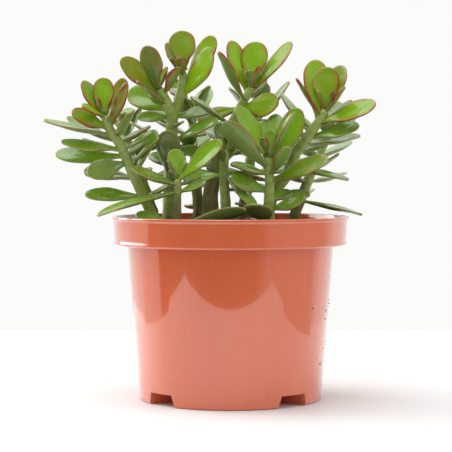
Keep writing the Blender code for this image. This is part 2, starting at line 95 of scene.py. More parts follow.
# Each path is a list of (x, y, z, radius), from the foot to the tip. The first
# path of a stem is its main axis and the others are branches joined to it.
STEMS = {
    "stem_left": [
        [(-43, -7, 94, 3.6), (-47, -8, 112, 3.5), (-56, -10, 131, 3.3),
         (-63, -12, 147, 3.1), (-70, -14, 163, 2.8), (-77, -15, 174, 2.5),
         (-80, -16, 182, 2.2)],
    ],
    "stem_fork": [
        [(-38, 6, 94, 5.0), (-39, 6, 118, 4.7), (-39, 5, 143, 4.4),
         (-38, 4, 172, 4.0), (-37, 3, 184, 3.6)],
        [(-37.2, 3, 180, 3.2), (-41, 0, 191, 2.9), (-46, -2, 200, 2.3)],
        [(-36.8, 3, 180, 3.1), (-31.5, 4, 200, 2.8), (-30.6, 5, 212, 2.2)],
    ],
    "stem_front_small": [
        [(-34, -21, 95, 2.8), (-33.5, -23, 118, 2.5), (-33, -25, 142, 2.1)],
    ],
    "stem_centre_trunk": [
        [(-14, 5, 94, 6.0), (-13.5, 6, 116, 5.6), (-12, 7, 137, 4.6),
         (-7, 9, 158, 3.7), (4, 9, 183, 3.1), (14, 8, 201, 2.4)],
    ],
    "stem_centre_front": [
        [(0, -9, 94, 3.6), (-3, -9, 120, 3.4), (-4, -8, 148, 2.9),
         (-3, -5, 160, 2.4)],
    ],
    "stem_right_front": [
        [(25, -13, 94, 3.8), (24.3, -15, 119, 3.4), (24.8, -16, 143, 2.9),
         (23.5, -17, 156, 2.3)],
    ],
    "stem_right": [
        [(20, 5, 94, 4.4), (23, 4, 116, 4.1), (29, 2, 134, 3.9),
         (37, 0, 145, 3.7), (42, -2, 158, 3.5), (50, -5, 169, 3.2),
         (57, -7, 179, 2.7), (61, -8, 186, 2.2)],
    ],
    "stem_back_centre_left": [
        [(-20, 27, 94, 3.9), (-22, 33, 130, 3.4), (-25, 41, 164, 2.8),
         (-26, 45, 183, 2.2)],
    ],
    "stem_back_centre": [
        [(8, 31, 94, 4.2), (10, 38, 130, 3.7), (15, 47, 164, 3.0),
         (20, 52, 187, 2.2)],
    ],
    "stem_back_right": [
        [(36, 21, 94, 4.0), (44, 26, 122, 3.6), (55, 33, 148, 3.0),
         (65, 39, 169, 2.2)],
    ],
    "stem_back_left": [
        [(-44, 19, 94, 3.8), (-54, 24, 128, 3.4), (-64, 30, 156, 2.8),
         (-71, 33, 173, 2.2)],
    ],
}

# One leaf is (azimuth, rise, length, width, roll, curl, fold): azimuth 0 is +X and
# 90 is +Y, rise is above level, roll turns the upper face about the leaf's own
# length, curl bends it upwards from base to tip, and fold lifts its margins.
# One row is (stem, path, height on the path, first leaf, second leaf).
LEAVES = {
    "left_tip": [
        ("stem_left", 0, 182.0, (98, 74, 25, 13.5, 0, 8, 0.1), (228, 16, 19, 10, -40, 10, 0.2)),
        ("stem_left", 0, 178.0, (150, 58, 31, 14, -15, 8, 0.1), (316, 54, 30, 11, 40, 10, 0.4)),
        ("stem_left", 0, 174.0, (62, 64, 36, 13, 0, 16, 0.1), (205, 23, 26, 13, -60, 6, 0.1)),
    ],
    "left_b": [
        ("stem_left", 0, 169.9, (187, 12, 44, 12, -15, 8, 0.1), (305, 30, 28, 12, 30, 20, 0.2)),
    ],
    "left_c": [
        ("stem_left", 0, 165.3, (160, 25, 38, 13, -20, 6, 0.1), (30, 25, 24, 12, 0, 10, 0.1)),
    ],
    "left_d": [
        ("stem_left", 0, 160.8, (194, 7, 38, 11, -35, 10, 0.1), (350, 30, 22, 9, 20, 10, 0.2)),
    ],
    "left_e": [
        ("stem_left", 0, 156.2, (176, 2, 44, 14, -50, 10, 0.1), (55, 30, 22, 11, 0, 10, 0.1)),
    ],
    "left_f": [
        ("stem_left", 0, 151.8, (212, -14, 29, 14, -60, 0, 0.1), (335, 38, 26, 8, 30, 10, 0.3)),
    ],
    "left_g": [
        ("stem_left", 0, 142.5, (168, 8, 34, 12, -40, 6, 0.1), (65, 20, 18, 10, 0, 10, 0.1)),
    ],
    "left_h": [
        ("stem_left", 0, 130.5, (178, 2, 36, 12.5, -45, 0, 0.1), (350, 25, 18, 9, 20, 10, 0.1)),
    ],
    "fork_low": [
        ("stem_fork", 0, 144.0, (262, 64, 32, 16, 0, 20, 0.1), (85, 35, 30, 13, 0, 10, 0.1)),
    ],
    "fork_mid": [
        ("stem_fork", 0, 166.0, (342, 24, 33, 11.5, 45, 5, 0.3), (160, 25, 30, 13, 0, 10, 0.1)),
    ],
    "fork_left_tip": [
        ("stem_fork", 1, 200.0, (240, 64, 29, 15.5, 10, 6, 0.1), (118, 66, 27, 13, 0, 6, 0.1)),
        ("stem_fork", 1, 196.0, (186, 42, 34, 15, -65, 6, 0.1), (318, 50, 22, 10, 0, 12, 0.4)),
    ],
    "fork_left_b": [
        ("stem_fork", 1, 189.8, (228, 28, 29, 11, -30, 8, 0.2), (125, 25, 20, 12, 0, 10, 0.1)),
    ],
    "fork_right_tip": [
        ("stem_fork", 2, 212.0, (95, 72, 27, 17.5, 0, 5, 0.1), (200, 40, 11, 7, 0, 10, 0.2)),
        ("stem_fork", 2, 208.6, (130, 56, 26, 12, 0, 6, 0.1), (262, 50, 14, 8, 0, 10, 0.2)),
    ],
    "fork_right_b": [
        ("stem_fork", 2, 203.6, (30, 56, 38, 16, 25, 34, 0.1), (150, 30, 18, 10, 0, 8, 0.1)),
    ],
    "fork_right_c": [
        ("stem_fork", 2, 195.2, (341, 57, 37, 17, 70, 36, 0.1), (100, 15, 20, 12, 0, 8, 0.1)),
    ],
    "front_small_tip": [
        ("stem_front_small", 0, 142.0, (102, 68, 20, 12, 0, 5, 0.1), (350, 41, 36, 13.5, 60, 8, 0.3)),
    ],
    "front_small_b": [
        ("stem_front_small", 0, 138.5, (196, 20, 31, 11, -30, 16, 0.2), (30, 15, 16, 8, 0, 10, 0.2)),
    ],
    "front_small_c": [
        ("stem_front_small", 0, 133.5, (194, -16, 53, 10, -20, -10, 0.3), (335, 20, 20, 8, 50, 5, 0.2)),
    ],
    "front_small_d": [
        ("stem_front_small", 0, 112.5, (196, 14, 27, 12, -50, 5, 0.1), (345, 13, 46, 13, -35, 4, 0.1)),
    ],
    "centre_tip": [
        ("stem_centre_trunk", 0, 201.0, (74, 74, 31, 18, 0, 5, 0.1), (250, 60, 12, 8, 0, 10, 0.3)),
        ("stem_centre_trunk", 0, 197.0, (134, 66, 38, 14, -10, 6, 0.1), (14, 50, 44, 12, 30, 6, 0.1)),
    ],
    "centre_b": [
        ("stem_centre_trunk", 0, 193.2, (234, 43, 42, 13, -30, 5, 0.2), (60, 34, 26, 13, 0, 8, 0.1)),
    ],
    "centre_c": [
        ("stem_centre_trunk", 0, 187.2, (334, 8, 27, 17, 70, 10, 0.1), (162, -12, 30, 13, -50, 8, 0.1)),
    ],
    "centre_d": [
        ("stem_centre_trunk", 0, 177.0, (206, 30, 34, 10, -25, 5, 0.3), (40, 30, 28, 12, 0, 8, 0.1)),
    ],
    "centre_front_tip": [
        ("stem_centre_front", 0, 160.0, (108, 60, 20, 11, 0, 6, 0.1), (330, 60, 16, 9, 0, 6, 0.2)),
    ],
    "centre_front_b": [
        ("stem_centre_front", 0, 144.0, (318, -40, 32, 12, 0, -6, 0.1), (186, -6, 26, 11, -40, -6, 0.1)),
    ],
    "right_front_tip": [
        ("stem_right_front", 0, 156.0, (152, 58, 38, 15.5, -20, 6, 0.1), (328, 56, 33, 10, 30, 6, 0.4)),
        ("stem_right_front", 0, 152.5, (104, 62, 30, 13, 0, 5, 0.1), (68, 64, 34, 14, 0, 6, 0.1)),
        ("stem_right_front", 0, 149.0, (207, 43, 42, 15.5, 40, 6, 0.1), (8, 64, 42, 16, 60, 18, 0.1)),
    ],
    "right_front_b": [
        ("stem_right_front", 0, 145.0, (312, 46, 24, 13, 10, 16, 0.1), (192, 14, 25, 11, -30, 10, 0.3)),
    ],
    "right_front_c": [
        ("stem_right_front", 0, 140.8, (345, 20, 40, 15, 50, 6, 0.2), (150, 15, 24, 11, 0, 8, 0.1)),
    ],
    "right_front_d": [
        ("stem_right_front", 0, 134.0, (195, 22, 26, 13.5, -60, 14, 0.1), (125, 20, 13, 9, 0, 8, 0.1)),
    ],
    "right_front_e": [
        ("stem_right_front", 0, 122.5, (328, 16, 27, 12, 55, 5, 0.1), (160, 10, 22, 10, 0, 5, 0.1)),
    ],
    "right_front_f": [
        ("stem_right_front", 0, 115.0, (243, 26, 26, 19, 0, 30, 0.1), (160, 5, 14, 9, 0, 10, 0.1)),
    ],
    "right_tip": [
        ("stem_right", 0, 185.5, (88, 74, 29, 17.5, 0, 5, 0.1), (322, 46, 20, 9, 30, 5, 0.4)),
        ("stem_right", 0, 182.0, (44, 62, 37, 15, 10, 5, 0.1), (200, 54, 29, 10, -20, 5, 0.2)),
        ("stem_right", 0, 178.5, (98, 66, 44, 17, 0, 5, 0.1), (338, 17, 38, 15.5, 50, 10, 0.1)),
    ],
    "right_b": [
        ("stem_right", 0, 173.6, (30, 34, 34, 12, 0, 14, 0.1), (158, 48, 31, 13, -10, 18, 0.1)),
    ],
    "right_c": [
        ("stem_right", 0, 168.2, (350, 13, 33, 13, 45, 4, 0.1), (150, 34, 17, 10, -20, 10, 0.2)),
    ],
    "right_d": [
        ("stem_right", 0, 163.8, (8, 9, 37, 15, 15, 8, 0.1), (120, 30, 30, 13, 0, 8, 0.1)),
    ],
    "right_e": [
        ("stem_right", 0, 149.0, (8, -12, 38, 10, 20, -5, 0.1), (100, 20, 26, 12, 0, 8, 0.1)),
    ],
    "back_centre_left_tip": [
        ("stem_back_centre_left", 0, 183.0, (150, 60, 28, 14, 0, 5, 0.1), (330, 58, 24, 12, 0, 5, 0.1)),
        ("stem_back_centre_left", 0, 178.5, (60, 50, 32, 14, 0, 8, 0.1), (240, 46, 26, 12, 0, 8, 0.1)),
    ],
    "back_centre_left_b": [
        ("stem_back_centre_left", 0, 170.0, (150, 22, 32, 14, 0, 8, 0.1), (340, 20, 26, 13, 30, 8, 0.1)),
    ],
    "back_centre_tip": [
        ("stem_back_centre", 0, 187.0, (100, 66, 28, 14, 0, 5, 0.1), (280, 60, 22, 12, 0, 5, 0.1)),
        ("stem_back_centre", 0, 182.5, (15, 50, 32, 14, 0, 8, 0.1), (190, 46, 28, 13, 0, 8, 0.1)),
    ],
    "back_centre_b": [
        ("stem_back_centre", 0, 174.0, (105, 26, 34, 14, 0, 8, 0.1), (285, 15, 24, 12, 0, 8, 0.1)),
    ],
    "back_right_tip": [
        ("stem_back_right", 0, 169.0, (60, 60, 28, 14, 0, 5, 0.1), (240, 60, 22, 11, 0, 5, 0.1)),
        ("stem_back_right", 0, 164.5, (330, 40, 30, 13, 0, 8, 0.1), (145, 44, 28, 13, 0, 8, 0.1)),
    ],
    "back_right_b": [
        ("stem_back_right", 0, 156.0, (50, 18, 34, 14, 0, 8, 0.1), (235, 12, 22, 11, 0, 8, 0.1)),
    ],
    "back_right_c": [
        ("stem_back_right", 0, 127.0, (357, -13, 41, 11, 10, -5, 0.1), (140, 10, 26, 11, 0, 8, 0.1)),
    ],
    "back_left_tip": [
        ("stem_back_left", 0, 173.0, (170, 58, 28, 13, 0, 5, 0.1), (350, 54, 22, 11, 0, 5, 0.1)),
        ("stem_back_left", 0, 168.5, (92, 40, 32, 14, 0, 8, 0.1), (268, 36, 18, 10, 0, 8, 0.1)),
    ],
    "back_left_b": [
        ("stem_back_left", 0, 159.0, (175, 16, 34, 14, 0, 8, 0.1), (20, 15, 24, 11, 0, 8, 0.1)),
    ],
}

# Small leaves that have no solid of their own, in the same form of row. A row
# with no second leaf is a leaf whose partner has dropped.
SMALL_LEAVES = {
    "left_tip": [
        ("stem_left", 0, 183.5, (20, 70, 12, 6.5, 0, 8, 0.2), (200, 66, 11, 6, 0, 8, 0.2)),
    ],
    "fork_left_tip": [
        ("stem_fork", 1, 201.5, (30, 68, 13, 7, 0, 8, 0.2), (160, 60, 12, 6.5, 0, 8, 0.2)),
    ],
    "fork_right_tip": [
        ("stem_fork", 2, 213.5, (10, 70, 9, 6, 0, 8, 0.2), (190, 70, 8, 5, 0, 8, 0.2)),
    ],
    "front_small_tip": [
        ("stem_front_small", 0, 143.5, (30, 68, 11, 6, 0, 8, 0.2), (200, 60, 12, 6.5, -20, 8, 0.2)),
    ],
    "centre_tip": [
        ("stem_centre_trunk", 0, 202.5, (340, 68, 13, 7, 0, 8, 0.2), (160, 66, 12, 7, 0, 8, 0.2)),
    ],
    "centre_front_tip": [
        ("stem_centre_front", 0, 161.5, (20, 70, 10, 6, 0, 8, 0.2), (200, 66, 9, 5, 0, 8, 0.2)),
    ],
    "right_front_tip": [
        ("stem_right_front", 0, 157.5, (60, 74, 16, 8, 0, 8, 0.2), (240, 62, 12, 7, 0, 8, 0.2)),
    ],
    "right_tip": [
        ("stem_right", 0, 187.0, (350, 70, 12, 7, 0, 8, 0.2), (170, 70, 12, 7, 0, 8, 0.2)),
    ],
    "back_centre_left_tip": [
        ("stem_back_centre_left", 0, 184.5, (60, 70, 12, 7, 0, 8, 0.2), (240, 68, 11, 6, 0, 8, 0.2)),
    ],
    "back_centre_tip": [
        ("stem_back_centre", 0, 188.5, (10, 70, 12, 7, 0, 8, 0.2), (190, 68, 11, 6, 0, 8, 0.2)),
    ],
    "back_right_tip": [
        ("stem_back_right", 0, 170.5, (330, 70, 12, 7, 0, 8, 0.2), (150, 68, 11, 6, 0, 8, 0.2)),
    ],
    "back_left_tip": [
        ("stem_back_left", 0, 174.5, (80, 70, 12, 7, 0, 8, 0.2), (260, 68, 11, 6, 0, 8, 0.2)),
    ],
    "left_c": [
        ("stem_left", 0, 167.6, (322, 50, 20, 10, 45, 8, 0.2)),
    ],
    "left_f": [
        ("stem_left", 0, 148.0, (40, 54, 31, 13.5, 15, 8, 0.1)),
        ("stem_left", 0, 146.5, (330, 48, 20, 8, 45, 8, 0.2)),
    ],
    "fork_mid": [
        ("stem_fork", 0, 181.5, (180, 0, 22, 8, -65, 6, 0.2), (20, 12, 26, 12, 30, 6, 0.1)),
        ("stem_fork", 0, 176.0, (120, 26, 30, 14, 0, 8, 0.1), (300, 10, 12, 7, 20, 8, 0.1)),
        ("stem_fork", 0, 155.5, (60, 18, 26, 12, 20, 8, 0.1)),
    ],
    "fork_left_b": [
        ("stem_fork", 1, 186.0, (148, 24, 33, 17, -55, 8, 0.1)),
    ],
    "centre_d": [
        ("stem_centre_trunk", 0, 165.5, (110, 18, 30, 13, 0, 8, 0.1), (290, 14, 14, 8, 0, 8, 0.1)),
        ("stem_centre_trunk", 0, 156.0, (15, 22, 30, 12, 35, 8, 0.1), (190, 12, 24, 11, -45, 8, 0.1)),
        ("stem_centre_trunk", 0, 146.0, (196, 2, 30, 11, -30, 4, 0.1)),
    ],
    "centre_front_b": [
        ("stem_centre_front", 0, 152.5, (250, 34, 15, 8, 0, 8, 0.2), (70, 38, 22, 11, 0, 8, 0.1)),
        ("stem_centre_front", 0, 134.5, (30, 10, 24, 10, 20, 4, 0.1)),
    ],
    "right_front_d": [
        ("stem_right_front", 0, 128.5, (60, 14, 24, 12, 20, 8, 0.1)),
    ],
    "right_d": [
        ("stem_right", 0, 158.5, (150, 24, 22, 11, -30, 8, 0.1), (30, 22, 26, 12, 30, 8, 0.1)),
    ],
    "right_e": [
        ("stem_right", 0, 141.0, (60, 16, 28, 13, 20, 8, 0.1)),
        ("stem_right", 0, 131.0, (20, 2, 24, 11, 30, 6, 0.1)),
    ],
    "back_centre_left_b": [
        ("stem_back_centre_left", 0, 160.5, (75, 24, 34, 15, 0, 8, 0.1), (250, 28, 22, 12, 0, 8, 0.1)),
        ("stem_back_centre_left", 0, 149.5, (165, 14, 32, 14, -30, 8, 0.1), (330, 20, 22, 12, 40, 8, 0.1)),
        ("stem_back_centre_left", 0, 137.0, (80, 4, 34, 15, 0, 8, 0.1)),
        ("stem_back_centre_left", 0, 125.0, (100, -6, 30, 13, 0, 8, 0.1)),
    ],
    "back_centre_b": [
        ("stem_back_centre", 0, 166.0, (30, 22, 32, 14, 0, 8, 0.1), (200, 24, 24, 12, 0, 8, 0.1)),
        ("stem_back_centre", 0, 156.5, (110, 16, 36, 16, 0, 8, 0.1), (290, 26, 22, 12, 0, 8, 0.1)),
        ("stem_back_centre", 0, 145.0, (20, 8, 34, 15, 20, 8, 0.1), (190, 8, 28, 12, -30, 8, 0.1)),
        ("stem_back_centre", 0, 132.5, (95, 0, 32, 14, 0, 8, 0.1)),
    ],
    "back_right_b": [
        ("stem_back_right", 0, 148.5, (130, 18, 34, 14, 0, 8, 0.1), (310, 22, 24, 12, 20, 8, 0.1)),
        ("stem_back_right", 0, 139.5, (40, 10, 34, 14, 0, 8, 0.1), (220, 14, 22, 11, 0, 8, 0.1)),
    ],
    "back_right_c": [
        ("stem_back_right", 0, 132.0, (85, 4, 34, 14, 0, 8, 0.1)),
    ],
    "back_left_b": [
        ("stem_back_left", 0, 150.5, (95, 20, 34, 15, 0, 8, 0.1), (270, 22, 20, 11, 0, 8, 0.1)),
        ("stem_back_left", 0, 141.5, (170, 10, 34, 14, -20, 8, 0.1), (10, 12, 26, 12, 20, 8, 0.1)),
        ("stem_back_left", 0, 131.0, (85, 2, 34, 14, 0, 8, 0.1)),
    ],
}

# How young a leaf group is, how red its margins are and how yellow its green is,
# each from 0 to 1. Groups that aren't named take the last row.
GROUP_AGE = {
    "left_tip": (0.8, 0.9, 0.4),
    "left_b": (0.5, 0.5, 0.4),
    "left_c": (0.5, 0.4, 0.3),
    "fork_left_tip": (0.9, 0.9, 0.7),
    "fork_left_b": (0.7, 0.5, 0.6),
    "fork_right_tip": (0.8, 0.8, 0.6),
    "fork_right_b": (0.9, 0.8, 0.8),
    "fork_right_c": (0.9, 0.8, 0.9),
    "front_small_tip": (0.65, 0.4, 0.6),
    "centre_tip": (0.8, 1.0, 0.8),
    "centre_b": (0.7, 0.7, 0.7),
    "centre_c": (0.9, 0.9, 0.8),
    "right_front_tip": (0.55, 0.45, 0.6),
    "right_front_b": (0.5, 0.45, 0.5),
    "right_front_c": (0.7, 0.6, 0.6),
    "right_tip": (0.8, 1.0, 0.6),
    "right_b": (0.5, 0.5, 0.4),
    "right_c": (0.4, 0.4, 0.3),
    "": (0.45, 0.3, 0.4),
}

# Height at which a stem's bark has given way to green skin
GREEN_FROM = {
    "stem_left": 110.0,
    "stem_fork": 118.0,
    "stem_front_small": 132.0,
    "stem_centre_trunk": 150.0,
    "stem_centre_front": 112.0,
    "stem_right_front": 112.0,
    "stem_right": 128.0,
    "stem_back_centre_left": 140.0,
    "stem_back_centre": 144.0,
    "stem_back_right": 132.0,
    "stem_back_left": 134.0,
}


# Camera and lights, in metres and degrees
CAMERA_AT = (0.0, -1.05, 0.1505)
CAMERA_LENS, CAMERA_SENSOR = 129.8, 36.0  # millimetres
CAMERA_DOWN, CAMERA_LEFT = 2.15, 0.158
LIGHTS_AIM = (0.0, 0.0, 0.12)
LIGHTS = (  # name, place, width, height, whether it's seen in reflections
    ("softbox_left", (-0.95, 0.42, 0.55), 0.95, 1.1, True),
    ("softbox_top", (-0.15, -0.10, 1.15), 0.9, 0.9, True),
    ("panel_right", (1.05, -0.25, 0.35), 0.9, 0.9, False),
)
TABLE_THICKNESS = 0.1

# Leaf shell: rings along it and places round it
LEAF_GRID, BUD_GRID = (32, 28), (16, 16)
AXIS_STEPS = 96  # straight steps that make up the midrib
TIP_CROWDING = 1.7
TIP_POWER = 2.3
BEND_SPREAD, TWIST_SPREAD = 5, 7  # degrees
WIDEST_SPREAD = 0.03
BASE_THICKNESS, THICKEST_TO = 0.62, 0.8
PETIOLE_THIN, FULL_FROM = 0.45, 0.2
FLARE, FLARE_LENGTH, FLARE_THICKER = 0.9, 1.7, 0.25
ABOVE_SHARE, BELOW_SHARE = 0.32, 0.66
GROOVE_DEPTH, GROOVE_WIDTH = 0.09, 0.16
MARGIN_WAVE, FACE_SWELL = 0.025, 0.018
NEAR_MARGIN = 3.2  # margin widths over which the warm tint fades
LEAF_INSET = 0.35

# Stem shell
STEM_STEP, STEM_SIDES = 0.7, 24
OLD_JOINT_EVERY = 9.0
SWELL_LENGTH, SWELL_MOST = 2.2, 1.1
SCAR_BELOW, SCAR_LENGTH, SCAR_DEPTH = 1.9, 0.35, 0.05
BARK_FADE = 24  # height over which green skin turns to bark
RIDGE_GREEN, RIDGE_BARK = 0.04, 0.13

# Soil and crumbs
SOIL_SLOPE, SOIL_SINK = 1.2, 0.9
CRUMB_CLEAR = 6.5  # from the middle of each stem
STUCK_SIZE = 0.65
STUCK_TURN, STUCK_SPREAD = -4, 16  # degrees


# ---------------------------------------------------------------- surfaces

def unit(vectors):
    return vectors / np.linalg.norm(vectors, axis=-1, keepdims=True)


def ripple(points, wavelength, seed):
    """Smooth noise of about unit size: the mean of sines along twelve random
    directions, each with its own phase, scaled to keep its spread at one."""
    chance = np.random.default_rng([SEED, seed])
    ways = unit(chance.normal(size=(12, 3))) * chance.uniform(0.7, 1.4, (12, 1))
    phases = chance.uniform(0, 2 * math.pi, 12)
    waves = np.sin(points @ ways.T * (2 * math.pi / wavelength) + phases)
    return waves.sum(-1) / math.sqrt(6.0)


def round_faces(stations, around):
    """Quads between successive closed rings of a grid numbered ring by ring."""
    ring = np.arange(stations - 1)[:, None] * around
    here = np.arange(around)[None, :]
    after = (here + 1) % around
    quads = (ring + here, ring + after, ring + around + after, ring + around + here)
    return np.stack(quads, -1).reshape(-1, 4)


def closed_shell(rings, start, end, **values):
    """A closed shell: rings of points, shape (stations, around, 3), with a fan from
    each end ring to its pole. It's turned so that its volume is positive."""
    stations, around = rings.shape[:2]
    points = np.concatenate([rings.reshape(-1, 3), [start, end]])
    first, last = stations * around, stations * around + 1
    here = np.arange(around)
    after = (here + 1) % around
    top = (stations - 1) * around
    fans = np.concatenate([
        np.stack([np.full(around, first), after, here], -1),
        np.stack([np.full(around, last), top + here, top + after], -1),
    ])
    quads = round_faces(stations, around)
    a, b, c, d = (points[quads[:, i]] for i in range(4))
    volume = np.einsum("ij,ij->i", a, np.cross(b, c) + np.cross(c, d)).sum()
    if volume < 0:
        quads, fans = quads[:, ::-1], fans[:, ::-1]
    shell = {"points": points, "faces": [quads, fans], "values": {}}
    for name, value in values.items():
        flat = np.broadcast_to(value, (stations, around, 4)).reshape(-1, 4)
        ends = [flat[:around].mean(0), flat[-around:].mean(0)]
        shell["values"][name] = np.concatenate([flat, ends])
    return shell


def piece_from(name, shells, look, slot, stands_for):
    """One object of several shells: their points end to end, in metres, and each
    shell's faces moved on by the number of points before it."""
    corners, counts, before = [], [], 0
    for shell in shells:
        for faces in shell["faces"]:
            corners.append((faces + before).ravel())
            counts.append(np.full(len(faces), faces.shape[1]))
        before += len(shell["points"])
    corners, counts = np.concatenate(corners), np.concatenate(counts)
    mesh = bpy.data.meshes.new(name)
    mesh.vertices.add(before)
    points = np.concatenate([shell["points"] for shell in shells]) * MM
    mesh.vertices.foreach_set("co", points.astype(np.float32).ravel())
    mesh.loops.add(len(corners))
    mesh.loops.foreach_set("vertex_index", corners.astype(np.int32))
    mesh.polygons.add(len(counts))
    starts = np.concatenate([[0], np.cumsum(counts)[:-1]]).astype(np.int32)
    mesh.polygons.foreach_set("loop_start", starts)
    for value in shells[0]["values"]:
        layer = mesh.attributes.new(value, "FLOAT_COLOR", "POINT")
        data = np.concatenate([shell["values"][value] for shell in shells])
        layer.data.foreach_set("color", data.astype(np.float32).ravel())
    mesh.update(calc_edges=True)
    mesh.polygons.foreach_set("use_smooth", np.ones(len(counts), bool))
    mesh.materials.append(look)
    made = bpy.data.objects.new(name, mesh)
    bpy.context.scene.collection.objects.link(made)
    if slot:
        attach(made, "root")
    if stands_for:
        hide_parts(stands_for)
    return made


# ---------------------------------------------------------------- leaves

def turned_axes(azimuth, rise, roll):
    """Directions along a leaf, across it and out of its upper face, for arrays of
    angles in degrees: a level heading is raised by the rise, then the upper face
    turns about the heading by the roll."""
    turn, lift, tilt = (np.radians(angle)[..., None] for angle in (azimuth, rise, roll))
    ahead = np.concatenate([np.cos(turn), np.sin(turn), 0 * turn], -1)
    up = np.array([0.0, 0.0, 1.0])
    along = ahead * np.cos(lift) + up * np.sin(lift)
    level = up * np.cos(lift) - ahead * np.sin(lift)
    upper = level * np.cos(tilt) + np.cross(along, level) * np.sin(tilt)
    return along, np.cross(along, upper), upper


def outline(t, widest):
    """Half-width as a share of its greatest: a smooth step from the petiole to the
    widest place, then the quarter of a superellipse to the tip."""
    rising = np.clip(t / widest, 0, 1)
    past = np.clip((t - widest) / (1 - widest), 0, 1)
    step = PETIOLE_SHARE + (1 - PETIOLE_SHARE) * rising ** 2 * (3 - 2 * rising)
    return np.where(t <= widest, step, np.sqrt(1 - past ** TIP_POWER))


def leaf_shell(base, leaf, age, settings, key):
    """One fleshy leaf on a grid of stations along it and angles round it.

    The midrib is the running sum of headings whose rise, azimuth and roll change
    evenly from base to tip. Round it, the section is half an ellipse above and a
    deeper half below, raised at the margins by the fold, grooved along the midrib
    and waved a little. Stations crowd towards the tip, where the width closes.
    """
    azimuth, rise, length, width, roll, curl, fold = leaf
    young, red, yellow = age
    chance = np.random.default_rng([SEED, *key])
    bend, twist = chance.normal(0, BEND_SPREAD), chance.normal(0, TWIST_SPREAD)
    widest = WIDEST_AT + chance.uniform(-WIDEST_SPREAD, WIDEST_SPREAD)
    small = length < settings.bud_length / MM
    stations, around = BUD_GRID if small else LEAF_GRID

    t = 1 - (1 - np.linspace(0, 1, stations)) ** TIP_CROWDING
    fine = (np.arange(AXIS_STEPS) + 0.5) / AXIS_STEPS
    heading = turned_axes(azimuth + bend * fine, rise + curl * (fine - 0.5), roll + 0 * fine)[0]
    travelled = np.concatenate([np.zeros((1, 3)), np.cumsum(heading, 0)]) * (length / AXIS_STEPS)
    knots = np.linspace(0, 1, AXIS_STEPS + 1)
    midrib = base + np.stack([np.interp(t, knots, travelled[:, i]) for i in range(3)], -1)
    side, upper = turned_axes(
        azimuth + bend * t, rise + curl * (t - 0.5), roll + twist * (t - 0.4))[1:]

    half = 0.5 * width * outline(t, widest)
    flare = np.exp(-(t * length / FLARE_LENGTH) ** 2)
    half = half + FLARE * flare * min(1.0, width / 12)
    plump = np.sin(math.pi * np.minimum(t / THICKEST_TO, 1))
    thick = settings.thickness / MM * (BASE_THICKNESS + (1 - BASE_THICKNESS) * plump)
    thick = thick * np.minimum(1, PETIOLE_THIN + (1 - PETIOLE_THIN) * half / (FULL_FROM * width))
    thick = thick * (1 + FLARE_THICKER * flare) * min(1.0, 0.45 + width / 22)

    angle = np.linspace(0, 2 * math.pi, around, endpoint=False)[None, :]
    across = np.cos(angle)
    rise_of = np.sin(angle)
    margin = np.abs(across)
    wave = 1 + MARGIN_WAVE * np.sin(t[:, None] * 13 + 2 * np.sign(across) + chance.uniform(0, 6))
    sideways = across * half[:, None] * wave
    away = np.abs(rise_of)
    body = np.where(rise_of > 0, ABOVE_SHARE * away ** 0.85, -BELOW_SHARE * away ** 0.95)
    deep = np.sin(math.pi * np.minimum(1, t[:, None] * 1.15))
    groove = GROOVE_DEPTH * np.exp(-(across / GROOVE_WIDTH) ** 2) * (rise_of > 0) * deep
    height = (body - groove) * thick[:, None]
    lift = 0.5 * fold * width * (half[:, None] / (0.5 * width)) ** 2 * margin ** 2
    swell = FACE_SWELL * width * np.sin(t[:, None] * chance.uniform(5, 8) + 3 * across + chance.uniform(0, 6))
    height = height + lift + swell * np.sin(math.pi * t[:, None])
    rings = (midrib[:, None, :] + side[:, None, :] * sideways[..., None]
             + upper[:, None, :] * height[..., None])

    edge_gap = (1 - margin) * half[:, None]
    rim_width = settings.margin_width / MM
    edge = np.exp(-(edge_gap / rim_width) ** 2)
    near = np.exp(-(edge_gap / (NEAR_MARGIN * rim_width)) ** 2)
    uneven = 0.75 + 0.25 * ripple(rings, 9.0, key[0] % 7 + 50)
    reach = np.clip(0.35 + 0.9 * t[:, None], 0, 1)
    redness = np.clip(red * reach * uneven * chance.uniform(0.75, 1.15), 0, 1)
    tone = chance.uniform(0, 1)
    grid = np.ones((stations, around, 1))
    form = np.concatenate([
        edge[..., None] * grid, near[..., None] * grid,
        np.clip(0.5 + 2.5 * rise_of, 0, 1)[..., None] * grid, t[:, None, None] * grid], -1)
    life = np.concatenate([
        redness[..., None] * grid, young * grid, yellow * grid, tone * grid], -1)
    return closed_shell(rings[:-1], rings[0].mean(0), rings[-1].mean(0), form=form[:-1], life=life[:-1])


def on_path(path, height):
    """Centre and radius of a path where it passes a height, between its points."""
    rows = np.array(path)
    return np.array([np.interp(height, rows[:, 2], rows[:, i]) for i in (0, 1)] + [height]), \
        np.interp(height, rows[:, 2], rows[:, 3])


def leaf_group(name, settings, look):
    rows = LEAVES.get(name, []) + SMALL_LEAVES.get(name, [])
    age = GROUP_AGE.get(name, GROUP_AGE[""])
    shells = []
    for order, (stem, branch, height, *pair) in enumerate(rows):
        centre, radius = on_path(STEMS[stem][branch], height)
        for which, leaf in enumerate(pair):
            turn = math.radians(leaf[0])
            ahead = np.array([math.cos(turn), math.sin(turn), 0.0])
            key = (sum(map(ord, name)), order, which)
            base = centre + ahead * (LEAF_INSET * radius)
            shells.append(leaf_shell(base, leaf, age, settings, key))
    stands_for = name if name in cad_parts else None
    return piece_from(f"leaves_{name}", shells, look, "jade_leaf", stands_for)


# ---------------------------------------------------------------- stems

